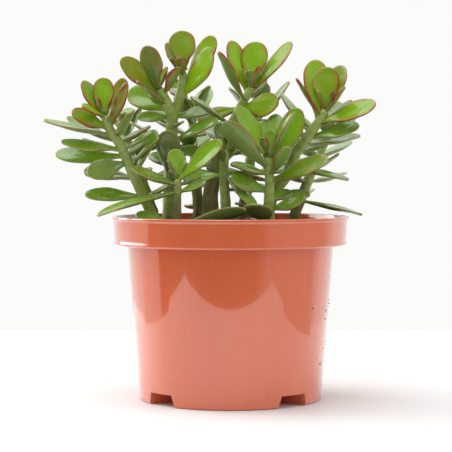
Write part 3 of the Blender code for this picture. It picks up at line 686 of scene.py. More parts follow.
def smooth_path(rows, step):
    """Points every step along a Catmull-Rom curve through rows of (x, y, z, radius):
    each span is the cubic that leaves and meets its ends along their neighbours' chord."""
    padded = np.concatenate([[2 * rows[0] - rows[1]], rows, [2 * rows[-1] - rows[-2]]])
    spans = []
    for i in range(len(rows) - 1):
        a, b, c, d = padded[i:i + 4]
        count = max(2, int(np.linalg.norm(c[:3] - b[:3]) / step))
        u = np.linspace(0, 1, count, endpoint=i == len(rows) - 2)[:, None]
        spans.append(0.5 * (2 * b + (c - a) * u + (2 * a - 5 * b + 4 * c - d) * u ** 2
                            + (3 * b - a - 3 * c + d) * u ** 3))
    return np.concatenate(spans)


def stem_shell(stem, branch, settings):
    """A tube along a smoothed path. Its radius is the path's own, plus a swelling
    where each leaf pair sits, a fine step below it, and ridges where there's bark."""
    rows = np.array(STEMS[stem][branch], float)
    line = smooth_path(rows, STEM_STEP)
    centres, radii = line[:, :3], line[:, 3]
    tangent = unit(np.gradient(centres, axis=0))
    side = unit(np.cross([0.0, 1.0, 0.0], tangent))
    front = np.cross(tangent, side)
    joints = np.array([
        row[2] for table in (LEAVES, SMALL_LEAVES) for group in table.values()
        for row in group if row[0] == stem and row[1] == branch])
    old = np.arange(rows[0, 2] + 15, joints.min() - 6, OLD_JOINT_EVERY) if len(joints) else np.array([])
    marks = np.concatenate([joints, old])
    height = centres[:, 2]
    from_mark = (height[:, None] - marks[None, :])
    swell = np.exp(-(from_mark / SWELL_LENGTH) ** 2).sum(1).clip(0, SWELL_MOST)
    scar = np.exp(-((from_mark + SCAR_BELOW) / SCAR_LENGTH) ** 2).sum(1)
    woody = np.clip((GREEN_FROM[stem] - height) / BARK_FADE + 0.5, 0, 1)
    angle = np.linspace(0, 2 * math.pi, STEM_SIDES, endpoint=False)
    ways = (side[:, None] * np.cos(angle)[None, :, None]
            + front[:, None] * np.sin(angle)[None, :, None])
    skin = centres[:, None] + ways * radii[:, None, None]
    ridges = ripple(skin * np.array([1, 1, 0.22]), 2.6, 11)
    reach = (radii + settings.node_swelling / MM * swell - SCAR_DEPTH * scar)[:, None]
    reach = reach + (RIDGE_GREEN + RIDGE_BARK * woody[:, None]) * ridges
    reach = reach + 0.12 * radii[:, None] * ripple(skin, 17.0, 12) * 0.4
    end = np.clip((len(line) - 1 - np.arange(len(line))) * STEM_STEP / radii, 0, 1)[:, None]
    reach = reach * np.sqrt(1 - (1 - end) ** 2 * 0.98)
    rings = centres[:, None] + ways * reach[..., None]
    grid = np.ones((len(line), len(angle), 1))
    bark = np.concatenate([
        woody[:, None, None] * grid, np.clip(scar, 0, 1)[:, None, None] * grid,
        np.clip(swell, 0, 1)[:, None, None] * grid,
        np.clip(0.5 + 0.5 * ridges, 0, 1)[..., None]], -1)
    return closed_shell(rings, centres[0], centres[-1] + tangent[-1] * 0.1, bark=bark)


# ---------------------------------------------------------------- pot and soil

def rounded(corners, radius, steps=4):
    """A (radius, height) profile with each corner off the axis replaced by a short
    quadratic curve that leaves and meets its edges at most the given distance away."""
    corners = np.array(corners, float)
    before = corners - np.roll(corners, 1, 0)
    after = np.roll(corners, -1, 0) - corners
    lengths = [np.linalg.norm(edge, axis=1, keepdims=True) for edge in (before, after)]
    back = np.minimum(radius, 0.45 * lengths[0])
    on = np.minimum(radius, 0.45 * lengths[1])
    start = corners - before / lengths[0] * back
    finish = corners + after / lengths[1] * on
    u = np.linspace(0, 1, steps)[None, :, None]
    bends = ((1 - u) ** 2 * start[:, None] + 2 * u * (1 - u) * corners[:, None]
             + u ** 2 * finish[:, None])
    return np.concatenate([corners[:1], bends[1:-1].reshape(-1, 2), corners[-1:]])


def turned_shell(profile, steps):
    """The surface of revolution of a profile whose two ends are on the axis."""
    angle = np.linspace(0, 2 * math.pi, steps, endpoint=False)
    radius, height = profile[1:-1, :1], profile[1:-1, 1:]
    rings = np.stack([radius * np.cos(angle), radius * np.sin(angle), height + 0 * angle], -1)
    return closed_shell(rings, [0, 0, profile[0, 1]], [0, 0, profile[-1, 1]])


def sector_shell(inner, outer, low, high, azimuth, half_low, half_high):
    """A block between two radii that spans an angle, narrower at its top: rings of
    its four corners at even turns, with a fan over each end."""
    share = np.linspace(-1, 1, 13)[:, None]
    corners = np.array([[inner, low, half_low], [outer, low, half_low],
                        [outer, high, half_high], [inner, high, half_high]])
    turn = np.radians(azimuth + share * corners[:, 2])
    rings = np.stack([corners[:, 0] * np.cos(turn), corners[:, 0] * np.sin(turn),
                      corners[:, 1] + 0 * turn], -1)
    return closed_shell(rings, rings[0].mean(0), rings[-1].mean(0))


def rod_shell(x, y, low, high, radius):
    """An upright rod: two rings of one radius, with a fan over each end."""
    angle = np.linspace(0, 2 * math.pi, 24, endpoint=False)
    ring = np.stack([x + radius * np.cos(angle), y + radius * np.sin(angle), 0 * angle], -1)
    rings = np.stack([ring + [0, 0, low], ring + [0, 0, high]])
    return closed_shell(rings, [x, y, low], [x, y, high])


def combine(target, shells, operation):
    """Joins shells to a mesh object or cuts them from it, and keeps the result."""
    cutter = piece_from("cutter", shells, target.data.materials[0], None, None)
    step = target.modifiers.new(operation.lower(), "BOOLEAN")
    step.operation = operation
    step.solver = "MANIFOLD"
    step.object = cutter
    graph = bpy.context.evaluated_depsgraph_get()
    made = bpy.data.meshes.new_from_object(target.evaluated_get(graph))
    target.modifiers.clear()
    target.data = made
    bpy.data.objects.remove(cutter, do_unlink=True)


def pot_profile():
    """The pot's closed section, from the underside's centre round the wall and rim
    and back along the inside to the floor's centre."""
    return [
        (0, 0), (BASE_RADIUS - 1.0, 0), (BASE_RADIUS, 0.9),
        (BODY_TOP_RADIUS, BAND_BOTTOM), (BODY_TOP_RADIUS + 0.3, BAND_BOTTOM + 1.3),
        (BAND_RADIUS - 1.7, BAND_BOTTOM + 1.4), (BAND_RADIUS - 1.5, BAND_BOTTOM),
        (BAND_RADIUS - 0.5, BAND_BOTTOM + 0.1), (BAND_RADIUS + 0.25, BAND_BOTTOM + 0.9),
        (BAND_RADIUS + 0.3, BAND_BOTTOM + 1.9), (BAND_RADIUS, BAND_BOTTOM + 2.9),
        (BAND_RADIUS + 0.9, POT_HEIGHT - 2.6), (RIM_RADIUS, POT_HEIGHT - 1.6),
        (RIM_RADIUS, POT_HEIGHT - 0.5), (RIM_RADIUS - 0.5, POT_HEIGHT),
        (RIM_RADIUS - 1.6, POT_HEIGHT), (RIM_RADIUS - 2.1, POT_HEIGHT - 0.6),
        (BAND_RADIUS - WALL, BAND_BOTTOM + 4.0), (BAND_RADIUS - 2.2, BAND_BOTTOM + 2.9),
        (BODY_TOP_RADIUS - WALL + 0.4, BAND_BOTTOM + 2.6),
        (BODY_TOP_RADIUS - WALL, BAND_BOTTOM + 1.2),
        (BASE_RADIUS - WALL + 0.1, FLOOR + 0.9), (BASE_RADIUS - WALL - 0.8, FLOOR),
        (0, FLOOR),
    ]


def soil_shell(settings):
    """The soil on a polar grid: a low crown, broad hollows and humps, a slope down to
    the wall, and grains whose height is the sharpened sum of fine ripples."""
    angle = np.linspace(0, 2 * math.pi, 300, endpoint=False)[None, :]
    radius = (SOIL_RADIUS * np.linspace(0.01, 1, 110) ** 0.8)[:, None]
    flat = np.stack([radius * np.cos(angle), radius * np.sin(angle), 0 * radius * angle], -1)
    broad = 0.55 * ripple(flat, 31.0, 21) + 0.35 * ripple(flat, 13.0, 22)
    grains = np.maximum(0, ripple(flat, 3.4, 23)) ** 1.5 * 0.6
    grains = grains + 0.30 * ripple(flat, 1.7, 24)
    settled = np.clip((SOIL_RADIUS - radius) / 6, 0, 1)
    height = SOIL_CROWN - SOIL_SLOPE * (radius / SOIL_RADIUS) ** 2 - SOIL_SINK
    height = height + (broad + grains) * (0.5 + 0.5 * settled) - 1.1 * (1 - settled)
    top = flat + np.stack([0 * height, 0 * height, height], -1)
    skirt = [
        (SOIL_RADIUS, BAND_BOTTOM + 5.0), (BAND_RADIUS - 3.2, BAND_BOTTOM + 3.6),
        (BODY_TOP_RADIUS - WALL - 0.6, BAND_BOTTOM + 1.0), (BASE_RADIUS - 1.5, 22.0)]
    below = np.array([[r * np.cos(angle[0]), r * np.sin(angle[0]), z + 0 * angle[0]]
                      for r, z in skirt]).transpose(0, 2, 1)
    rings = np.concatenate([top, below])
    damp = np.clip(0.5 + 0.4 * broad, 0, 1)
    damp = np.concatenate([damp, np.full((len(skirt), damp.shape[1]), 0.5)])
    colour = np.stack([damp, damp, damp, np.ones_like(damp)], -1)
    return closed_shell(rings, [0, 0, top[0, 0, 2]], [0, 0, skirt[-1][1]], ground=colour)


def crumbs_at(chance, at, size):
    """Crumbs of soil at given places: one lumpy twenty-sided ball, its corners moved
    in and out, squashed and sized at random, repeated once for each place."""
    golden = (1 + math.sqrt(5)) / 2
    ball = unit(np.array([
        (-1, golden, 0), (1, golden, 0), (-1, -golden, 0), (1, -golden, 0),
        (0, -1, golden), (0, 1, golden), (0, -1, -golden), (0, 1, -golden),
        (golden, 0, -1), (golden, 0, 1), (-golden, 0, -1), (-golden, 0, 1)], float))
    faces = np.array([
        (0, 11, 5), (0, 5, 1), (0, 1, 7), (0, 7, 10), (0, 10, 11), (1, 5, 9), (5, 11, 4),
        (11, 10, 2), (10, 7, 6), (7, 1, 8), (3, 9, 4), (3, 4, 2), (3, 2, 6), (3, 6, 8),
        (3, 8, 9), (4, 9, 5), (2, 4, 11), (6, 2, 10), (8, 6, 7), (9, 8, 1)])
    lumps = ball[None] * chance.uniform(0.75, 1.15, (len(at), 12, 1))
    lumps = lumps * size[:, None, None] * chance.uniform(0.6, 1.1, (len(at), 1, 3))
    points = lumps + at[:, None]
    moved = faces[None] + 12 * np.arange(len(at))[:, None, None]
    shade = np.repeat(chance.uniform(0, 1, (len(at), 1)), 12, 0)
    colour = np.concatenate([shade, shade, shade, np.ones_like(shade)], 1)
    return {"points": points.reshape(-1, 3), "faces": [moved.reshape(-1, 3)],
            "values": {"ground": colour}}


def crumb_shell(settings):
    """Loose crumbs spread evenly over the disc of the soil, away from the stems."""
    chance = np.random.default_rng([SEED, 31])
    count = settings.crumbs
    far = (SOIL_RADIUS - 2.0) * np.sqrt(chance.uniform(0, 1, count))
    turn = chance.uniform(0, 2 * math.pi, count)
    at = np.stack([far * np.cos(turn), far * np.sin(turn)], -1)
    feet = np.array([paths[0][1][:2] for paths in STEMS.values()])
    clear = np.linalg.norm(at[:, None] - feet[None], axis=2).min(1) > CRUMB_CLEAR
    at = at[clear]
    size = settings.crumb_size / MM * chance.uniform(0.45, 1.0, len(at)) ** 2 * 1.3
    rest = SOIL_CROWN - SOIL_SLOPE * (far[clear] / SOIL_RADIUS) ** 2 - SOIL_SINK
    return crumbs_at(chance, np.concatenate([at, (rest + 0.35 * size)[:, None]], 1), size)


def stuck_shell(settings):
    """Small crumbs stuck to the pot's wall, at random heights, with bearings spread
    as a bell curve about the right-hand side. Each sits on the cone of the wall."""
    chance = np.random.default_rng([SEED, 33])
    height = BAND_BOTTOM * chance.uniform(0.09, 0.80, settings.stuck)
    turn = np.radians(chance.normal(STUCK_TURN, STUCK_SPREAD, settings.stuck))
    radius = BASE_RADIUS + (BODY_TOP_RADIUS - BASE_RADIUS) * height / BAND_BOTTOM
    at = np.stack([radius * np.cos(turn), radius * np.sin(turn), height], -1)
    return crumbs_at(chance, at, STUCK_SIZE * chance.uniform(0.45, 1.0, settings.stuck) ** 1.5)
# ---------------------------------------------------------------- materials

class Tree:
    """Short calls for adding nodes to one node tree and joining them."""

    def __init__(self, tree):
        self.tree = tree

    def node(self, kind, settings=None, **inputs):
        made = self.tree.nodes.new(kind)
        for name, value in (settings or {}).items():
            setattr(made, name, value)
        for name, value in inputs.items():
            self.feed(made.inputs[name.replace("_", " ")], value)
        return made

    def feed(self, socket, value):
        if isinstance(value, bpy.types.NodeSocket):
            self.tree.links.new(value, socket)
        else:
            socket.default_value = value

    def math(self, operation, first, second=0.0, clamp=False):
        made = self.node("ShaderNodeMath", {"operation": operation, "use_clamp": clamp})
        self.feed(made.inputs[0], first)
        self.feed(made.inputs[1], second)
        return made.outputs[0]

    def times(self, first, second, clamp=False):
        return self.math("MULTIPLY", first, second, clamp)

    def plus(self, first, second, clamp=False):
        return self.math("ADD", first, second, clamp)

    def minus(self, first, second):
        return self.math("SUBTRACT", first, second)

    def mix(self, share, first, second):
        made = self.node("ShaderNodeMix", {"data_type": "RGBA"})
        self.feed(made.inputs[0], share)
        for socket, value in ((made.inputs[6], first), (made.inputs[7], second)):
            if isinstance(value, (tuple, list)) or hasattr(value, "r"):
                value = (*tuple(value)[:3], 1.0)
            self.feed(socket, value)
        return made.outputs[2]

    def ramp(self, value, low, high, to_low=0.0, to_high=1.0):
        made = self.node("ShaderNodeMapRange", {"clamp": True})
        for socket, number in zip(made.inputs, (value, low, high, to_low, to_high)):
            self.feed(socket, number)
        return made.outputs[0]

    def attribute(self, name):
        """The three colour channels and the alpha of a named attribute."""
        source = self.node("ShaderNodeAttribute", {"attribute_name": name})
        parts = self.node("ShaderNodeSeparateColor", Color=source.outputs["Color"])
        return [*parts.outputs, source.outputs["Alpha"]]


def effect(name, numbers, outputs, fill):
    """A shader node group with a Vector input and named numbers, built once."""
    found = bpy.data.node_groups.get(name)
    if found:
        return found
    group = bpy.data.node_groups.new(name, "ShaderNodeTree")
    group.interface.new_socket("Vector", in_out="INPUT", socket_type="NodeSocketVector")
    for label, default in numbers:
        socket = group.interface.new_socket(label, in_out="INPUT", socket_type="NodeSocketFloat")
        socket.default_value = default
    for label in outputs:
        group.interface.new_socket(label, in_out="OUTPUT", socket_type="NodeSocketFloat")
    tree = Tree(group)
    fill(tree, tree.node("NodeGroupInput"), tree.node("NodeGroupOutput"))
    return group


def fill_clouds(tree, given, result):
    noise = tree.node("ShaderNodeTexNoise", Vector=given.outputs["Vector"],
                      Scale=given.outputs["Scale"], Detail=3.0, Roughness=0.55)
    spread = tree.times(tree.minus(noise.outputs[0], 0.5),
                       given.outputs["Contrast"])
    tree.feed(result.inputs["Value"], tree.plus(spread, 0.5, clamp=True))


def fill_specks(tree, given, result):
    cells = tree.node("ShaderNodeTexVoronoi", Vector=given.outputs["Vector"],
                      Scale=given.outputs["Scale"])
    chance = tree.node("ShaderNodeSeparateColor", Color=cells.outputs["Color"])
    kept = tree.math("LESS_THAN", chance.outputs[0], given.outputs["Share"])
    size = tree.times(given.outputs["Size"],
                     tree.plus(tree.times(chance.outputs[1], 0.8), 0.4))
    inside = tree.minus(1.0, tree.math("DIVIDE", cells.outputs["Distance"], size))
    sharp = tree.times(inside, 2.5, clamp=True)
    tree.feed(result.inputs["Mask"], tree.times(sharp, kept))


def clouds(tree, vector, scale, contrast):
    """Soft blotches about a half, from low-detail noise."""
    group = effect("soft_blotches", (("Scale", 50.0), ("Contrast", 1.0)), ("Value",), fill_clouds)
    made = tree.node("ShaderNodeGroup", {"node_tree": group},
                     Vector=vector, Scale=scale, Contrast=contrast)
    return made.outputs["Value"]


def specks(tree, vector, scale, size, share):
    """Scattered dots: the middles of a share of a cell pattern's cells."""
    group = effect("scattered_specks", (("Scale", 300.0), ("Size", 0.2), ("Share", 0.5)),
                   ("Mask",), fill_specks)
    made = tree.node("ShaderNodeGroup", {"node_tree": group},
                     Vector=vector, Scale=scale, Size=size, Share=share)
    return made.outputs["Mask"]


def stretched(tree, vector, scale):
    return tree.node("ShaderNodeMapping", Vector=vector, Scale=scale).outputs[0]


def new_look(name, **constants):
    """A material with one Principled shader, its plain values set on the sockets."""
    look = bpy.data.materials.new(name)
    look.use_nodes = True
    shader = look.node_tree.nodes["Principled BSDF"]
    for label, value in constants.items():
        shader.inputs[label.replace("_", " ")].default_value = value
    tree = Tree(look.node_tree)
    place = tree.node("ShaderNodeTexCoord").outputs["Object"]
    return look, tree, shader, place


def finish_look(tree, shader, colour, roughness, height, strength, distance):
    bump = tree.node("ShaderNodeBump", Strength=strength, Distance=distance, Height=height)
    tree.feed(shader.inputs["Base Color"], colour)
    tree.feed(shader.inputs["Roughness"], roughness)
    tree.feed(shader.inputs["Normal"], bump.outputs[0])


def leaf_look(s):
    """Waxy leaf skin: green above and greyer below, yellower where young, with a red
    margin, pale water-pore dots and a dusty bloom. Reads the form and life attributes."""
    look, tree, shader, place = new_look(
        "waxy_leaf_skin", Coat_Roughness=0.15,
        Specular_IOR_Level=0.28, Subsurface_Weight=0.10, Subsurface_Scale=0.003)
    shader.inputs["Subsurface Radius"].default_value = (0.5, 1.0, 0.2)
    edge, near, face, along = tree.attribute("form")
    red, young, yellow, tone = tree.attribute("life")
    broad = clouds(tree, place, 55.0, 0.9)
    fine = clouds(tree, place, 420.0, 1.2)
    above = tree.mix(young, s.mature_green, s.young_green)
    above = tree.mix(tree.times(yellow, broad), above, s.sunlit_green)
    inner = tree.times(tree.minus(1.0, near), tree.ramp(along, 0.1, 1.0, 1.0, 0.25))
    heart = tree.times(inner, tree.ramp(young, 0.2, 1.0, 0.15, 0.75))
    above = tree.mix(heart, above, s.heart_green)
    below = tree.mix(tree.times(broad, 0.7), s.underside_green, s.mature_green)
    colour = tree.mix(face, below, above)
    colour = tree.mix(tree.ramp(tone, 0.35, 1.0, 0.0, 0.50), colour, s.deep_green)
    flushed = tree.times(tree.ramp(tone, 0.6, 1.0, 0.0, 0.40), red)
    colour = tree.mix(flushed, colour, s.blush)
    old = tree.ramp(young, 0.35, 0.9, 1.0, 0.12)
    dusty = tree.times(tree.ramp(fine, 0.35, 0.8, 0.0, 0.09), old)
    colour = tree.mix(dusty, colour, s.bloom)
    tree.feed(shader.inputs["Coat Weight"], tree.ramp(old, 0.0, 1.0, 0.4, 1.0))
    colour = tree.mix(tree.times(near, tree.ramp(red, 0.3, 1.0, 0.05, 0.85)), colour, s.blush)
    pale = tree.times(edge, tree.times(tree.minus(1.0, red), 0.38))
    colour = tree.mix(pale, colour, s.pale_margin)
    line = tree.times(edge, tree.times(red, 1.5), clamp=True)
    colour = tree.mix(line, colour, s.red_margin)
    dots = specks(tree, place, 520.0, 0.20, 0.75)
    colour = tree.mix(tree.times(dots, tree.ramp(old, 0, 1, 0.14, 0.42)), colour, s.bloom)
    dull = tree.plus(tree.times(fine, 0.14), tree.ramp(face, 0, 1, 0.30, 0.20))
    height = tree.plus(tree.times(fine, 0.6), tree.times(dots, 0.35))
    finish_look(tree, shader, colour, dull, height, 0.35, 0.0003)
    return look


def bark_look(s):
    """Succulent stem: green skin above, passing through olive to cracked grey-brown
    bark below, with darker leaf scars. Reads the bark attribute."""
    look, tree, shader, place = new_look("jade_stem_skin", Specular_IOR_Level=0.4)
    woody, scar, swell, ridge = tree.attribute("bark")
    broad = clouds(tree, place, 90.0, 1.5)
    grain = clouds(tree, stretched(tree, place, (1.0, 1.0, 0.25)), 520.0, 1.6)
    skin = tree.mix(broad, s.skin_green, s.skin_olive)
    skin = tree.mix(tree.times(swell, 0.35), skin, s.skin_pale)
    wood = tree.mix(grain, s.bark_dark, s.bark_light)
    wood = tree.mix(tree.times(broad, 0.35), wood, s.skin_olive)
    share = tree.plus(tree.times(woody, 1.5), tree.minus(broad, 0.75), clamp=True)
    colour = tree.mix(share, skin, wood)
    colour = tree.mix(tree.times(scar, 0.22), colour, s.bark_dark)
    colour = tree.mix(tree.times(specks(tree, place, 700.0, 0.2, 0.5), 0.2), colour, s.skin_pale)
    dull = tree.ramp(share, 0.0, 1.0, 0.42, 0.85)
    height = tree.plus(tree.times(grain, share), tree.times(ridge, 0.4))
    finish_look(tree, shader, colour, dull, height, 0.6, 0.0005)
    return look


def soil_look(s):
    """Moist compost: near-black and brown crumbs, lighter fibres and pale grit."""
    look, tree, shader, place = new_look("moist_compost", Specular_IOR_Level=0.25)
    shade = tree.attribute("ground")[0]
    lumps = clouds(tree, place, 420.0, 2.4)
    grain = clouds(tree, place, 1500.0, 2.0)
    colour = tree.mix(lumps, s.dark, s.brown)
    colour = tree.mix(tree.times(shade, 0.45), colour, s.dry)
    fibres = tree.ramp(clouds(tree, stretched(tree, place, (1.0, 0.16, 0.5)), 900.0, 2.0), 0.75, 0.95)
    colour = tree.mix(tree.times(fibres, 0.6), colour, s.dry)
    grit = specks(tree, place, 260.0, 0.22, 0.05)
    colour = tree.mix(grit, colour, s.grit)
    dull = tree.ramp(lumps, 0.0, 1.0, 0.98, 0.72)
    finish_look(tree, shader, colour, dull, tree.plus(grain, lumps), 0.9, 0.0008)
    return look


def pot_look(s):
    """Glossy moulded plastic: terracotta with faint flow streaks down the wall, fine
    rubs, and a little pale dust and a few crumbs of soil stuck near the foot."""
    look, tree, shader, place = new_look(
        "glossy_terracotta_plastic", Coat_Weight=1.0, Coat_Roughness=0.035, Coat_IOR=1.7,
        IOR=1.52)
    broad = clouds(tree, place, 16.0, 1.4)
    streaks = clouds(tree, stretched(tree, place, (1.0, 1.0, 0.06)), 210.0, 1.8)
    rubs = clouds(tree, stretched(tree, place, (0.25, 0.25, 1.0)), 900.0, 1.8)
    colour = tree.mix(broad, s.terracotta, s.terracotta_light)
    colour = tree.mix(tree.ramp(streaks, 0.45, 0.95, 0.0, 0.09), colour, s.terracotta_pale)
    height = tree.node("ShaderNodeSeparateXYZ", Vector=place).outputs[2]
    low = tree.ramp(height, 0.0, 0.045, 1.0, 0.12)
    dust = specks(tree, place, 430.0, 0.16, 0.035)
    colour = tree.mix(tree.times(dust, 0.40), colour, s.dust)
    soil = tree.times(specks(tree, place, 260.0, 0.13, 0.05), low)
    colour = tree.mix(soil, colour, s.soil_spot)
    dull = tree.plus(tree.ramp(rubs, 0.55, 0.95, 0.12, 0.24), tree.times(dust, 0.3))
    wall = tree.plus(tree.times(streaks, 0.5), tree.times(broad, 0.5))
    finish_look(tree, shader, colour, dull, wall, 0.10, 0.0006)
    return look


def table_look(s):
    look, tree, shader, place = new_look("white_table", Specular_IOR_Level=0.2)
    broad = clouds(tree, place, 6.0, 0.5)
    colour = tree.mix(broad, s.table, s.table_shade)
    finish_look(tree, shader, colour, tree.ramp(broad, 0, 1, 0.5, 0.6), broad, 0.05, 0.0002)
    return look


# ---------------------------------------------------------------- settings

def length_property(name, description, millimetres):
    return bpy.props.FloatProperty(
        name=name, description=description, default=millimetres * MM, min=0.0,
        unit="LENGTH", precision=5)


def colour_property(name, description, colour):
    return bpy.props.FloatVectorProperty(
        name=name, description=description, default=colour, min=0.0, max=1.0,
        subtype="COLOR", size=3)


class JadePotSettings(bpy.types.PropertyGroup):
    corner: length_property("Corner", "Rounding of the pot's rim and ledges", 0.5)
    steps: bpy.props.IntProperty(
        name="Steps", description="Faces round the pot", default=256, min=32, max=512)
    terracotta: colour_property("Terracotta", "Main plastic colour", (0.64, 0.120, 0.042))
    terracotta_light: colour_property("Lighter", "Lighter blotches", (0.68, 0.140, 0.052))
    terracotta_pale: colour_property("Streaks", "Faint flow streaks", (0.74, 0.24, 0.13))
    dust: colour_property("Dust", "Dust on the plastic", (0.75, 0.52, 0.42))
    soil_spot: colour_property("Soil spots", "Soil stuck to the plastic", (0.10, 0.04, 0.02))


class JadeSoilSettings(bpy.types.PropertyGroup):
    crumbs: bpy.props.IntProperty(
        name="Crumbs", description="Loose crumbs on the soil", default=900, min=0, max=3000)
    stuck: bpy.props.IntProperty(
        name="Stuck crumbs", description="Crumbs stuck to the pot", default=46, min=1, max=300)
    crumb_size: length_property("Crumb size", "Radius of the largest crumbs", 2.2)
    dark: colour_property("Dark", "Wet compost", (0.012, 0.008, 0.006))
    brown: colour_property("Brown", "Moist compost", (0.050, 0.028, 0.016))
    dry: colour_property("Dry", "Dry fibres", (0.16, 0.095, 0.050))
    grit: colour_property("Grit", "Pale grit", (0.45, 0.42, 0.36))


class JadeStemSettings(bpy.types.PropertyGroup):
    node_swelling: length_property("Node swelling", "Swelling where a leaf pair sits", 0.20)
    skin_green: colour_property("Green skin", "Young stem skin", (0.29, 0.40, 0.055))
    skin_olive: colour_property("Olive skin", "Older stem skin", (0.27, 0.34, 0.060))
    skin_pale: colour_property("Pale skin", "Pale rings and dots", (0.42, 0.50, 0.22))
    bark_dark: colour_property("Dark bark", "Cracks and scars", (0.085, 0.062, 0.026))
    bark_light: colour_property("Light bark", "Weathered bark", (0.27, 0.23, 0.10))


class JadeLeafSettings(bpy.types.PropertyGroup):
    thickness: length_property("Thickness", "Greatest thickness of a full leaf", 3.4)
    margin_width: length_property("Margin width", "Width of the coloured margin", 0.72)
    bud_length: length_property("Bud length", "Leaves shorter than this are made coarser", 14.0)
    young_green: colour_property("Young green", "Upper side of young leaves", (0.160, 0.365, 0.002))
    mature_green: colour_property("Mature green", "Upper side of older leaves", (0.105, 0.230, 0.007))
    sunlit_green: colour_property("Sunlit green", "Yellower blotches", (0.26, 0.430, 0.003))
    heart_green: colour_property("Heart green", "Base of young leaves", (0.32, 0.560, 0.002))
    underside_green: colour_property("Underside", "Lower side of leaves", (0.24, 0.34, 0.085))
    deep_green: colour_property("Deep green", "Darker leaves", (0.042, 0.088, 0.007))
    bloom: colour_property("Bloom", "Waxy bloom and dots", (0.50, 0.60, 0.42))
    blush: colour_property("Blush", "Warm tint beside a red margin", (0.44, 0.17, 0.012))
    red_margin: colour_property("Red margin", "Margin of sun-grown leaves", (0.26, 0.030, 0.010))
    pale_margin: colour_property("Pale margin", "Margin of shaded leaves", (0.42, 0.46, 0.20))


class JadeStageSettings(bpy.types.PropertyGroup):
    table_left: length_property("Table left", "Table edge to the left of the pot", 300.0)
    table_right: length_property("Table right", "Table edge to the right", 256.0)
    table_front: length_property("Table front", "Table edge in front", 262.0)
    table_back: length_property("Table back", "Table edge behind", 426.0)
    table: colour_property("Table", "Table top", (0.86, 0.86, 0.855))
    table_shade: colour_property("Table shade", "Slight unevenness", (0.84, 0.84, 0.835))
    backdrop: colour_property("Backdrop", "Colour behind the plant", (0.965, 0.965, 0.955))
    key_power: bpy.props.FloatProperty(
        name="Key power", description="Large softbox at the left", default=10.5, unit="POWER")
    top_power: bpy.props.FloatProperty(
        name="Top power", description="Softbox overhead", default=7.0, unit="POWER")
    fill_power: bpy.props.FloatProperty(
        name="Fill power", description="Weak panel at the right", default=3.0, unit="POWER")
    surround: bpy.props.FloatProperty(
        name="Surround", description="Even light from all round", default=0.68)
    studio: bpy.props.FloatProperty(
        name="Studio", description="Brightness of the unlit front of the studio", default=0.08)
    left_wall: bpy.props.FloatProperty(
        name="Left wall", description="Brightness of the left side in reflections", default=0.8)
    right_wall: bpy.props.FloatProperty(
        name="Right wall", description="Brightness of the right side in reflections", default=0.45)
    back_wall: bpy.props.FloatProperty(
        name="Back wall", description="Brightness behind the plant in reflections", default=0.95)
    ceiling: bpy.props.FloatProperty(
        name="Ceiling", description="Brightness overhead in reflections", default=0.8)
    left_edge: bpy.props.FloatProperty(
        name="Left edge", description="How far forward the bright left side starts", default=-0.035)
    right_edge: bpy.props.FloatProperty(
        name="Right edge", description="Heading where the right wall starts",
        default=math.radians(31), subtype="ANGLE")


# ---------------------------------------------------------------- operators

class JADE_OT_pot(bpy.types.Operator):
    """Turn the pot from its section, then join the drain pockets and cut their holes"""
    bl_idname = "jade.pot"
    bl_label = "Build the pot"

    def execute(self, context):
        s = context.scene.jade_pot
        section = rounded(pot_profile(), s.corner / MM)
        pot = piece_from("pot_shell", [turned_shell(section, s.steps)], pot_look(s),
                         "terracotta_plastic", "pot")
        linings, hollows, drains = [], [], []
        for azimuth in POCKET_AZIMUTHS:
            linings.append(sector_shell(
                POCKET_INNER_RADIUS - WALL, BASE_RADIUS - 0.5, 0.5 * FLOOR,
                POCKET_HEIGHT + WALL, azimuth,
                POCKET_HALF_FOOT + POCKET_WALL, POCKET_HALF_TOP + POCKET_WALL))
            hollows.append(sector_shell(
                POCKET_INNER_RADIUS, BASE_RADIUS + 5, -1.0, POCKET_HEIGHT, azimuth,
                POCKET_HALF_FOOT, POCKET_HALF_TOP))
            turn = math.radians(azimuth)
            drains.append(rod_shell(
                DRAIN_AT * math.cos(turn), DRAIN_AT * math.sin(turn),
                POCKET_HEIGHT - 2, POCKET_HEIGHT + 4, DRAIN_RADIUS))
        combine(pot, linings, "UNION")
        combine(pot, hollows, "DIFFERENCE")
        combine(pot, drains, "DIFFERENCE")
        pot.data.set_sharp_from_angle(angle=math.radians(40))
        return {"FINISHED"}


class JADE_OT_soil(bpy.types.Operator):
    """Spread the soil inside the rim, with loose crumbs on it and a few on the pot"""
    bl_idname = "jade.soil"
    bl_label = "Fill the soil"

    def execute(self, context):
        s = context.scene.jade_soil
        look = soil_look(s)
        piece_from("soil_bed", [soil_shell(s)], look, "compost", "soil")
        crumbs = piece_from("soil_crumbs", [crumb_shell(s)], look, "compost", None)
        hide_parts("soil")
        stuck = piece_from("soil_stuck_to_pot", [stuck_shell(s)], look, "compost", None)
        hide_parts("soil")
        return {"FINISHED"}


class JADE_OT_stems(bpy.types.Operator):
    """Grow every stem along its smoothed path, with its branches"""
    bl_idname = "jade.stems"
    bl_label = "Grow the stems"

    def execute(self, context):
        s = context.scene.jade_stem
        look = bark_look(s)
        for stem, paths in STEMS.items():
            shells = [stem_shell(stem, branch, s) for branch in range(len(paths))]
            piece_from(stem.replace("stem_", "stalk_"), shells, look, "jade_stem", stem)
        return {"FINISHED"}


class JADE_OT_leaves(bpy.types.Operator):
    """Grow each group of opposite leaves, with the buds and small leaves beside it"""
    bl_idname = "jade.leaves"
    bl_label = "Grow the leaves"

    def execute(self, context):
        s = context.scene.jade_leaf
        look = leaf_look(s)
        for name in sorted(set(LEAVES) | set(SMALL_LEAVES)):
            leaf_group(name, s, look)
        return {"FINISHED"}


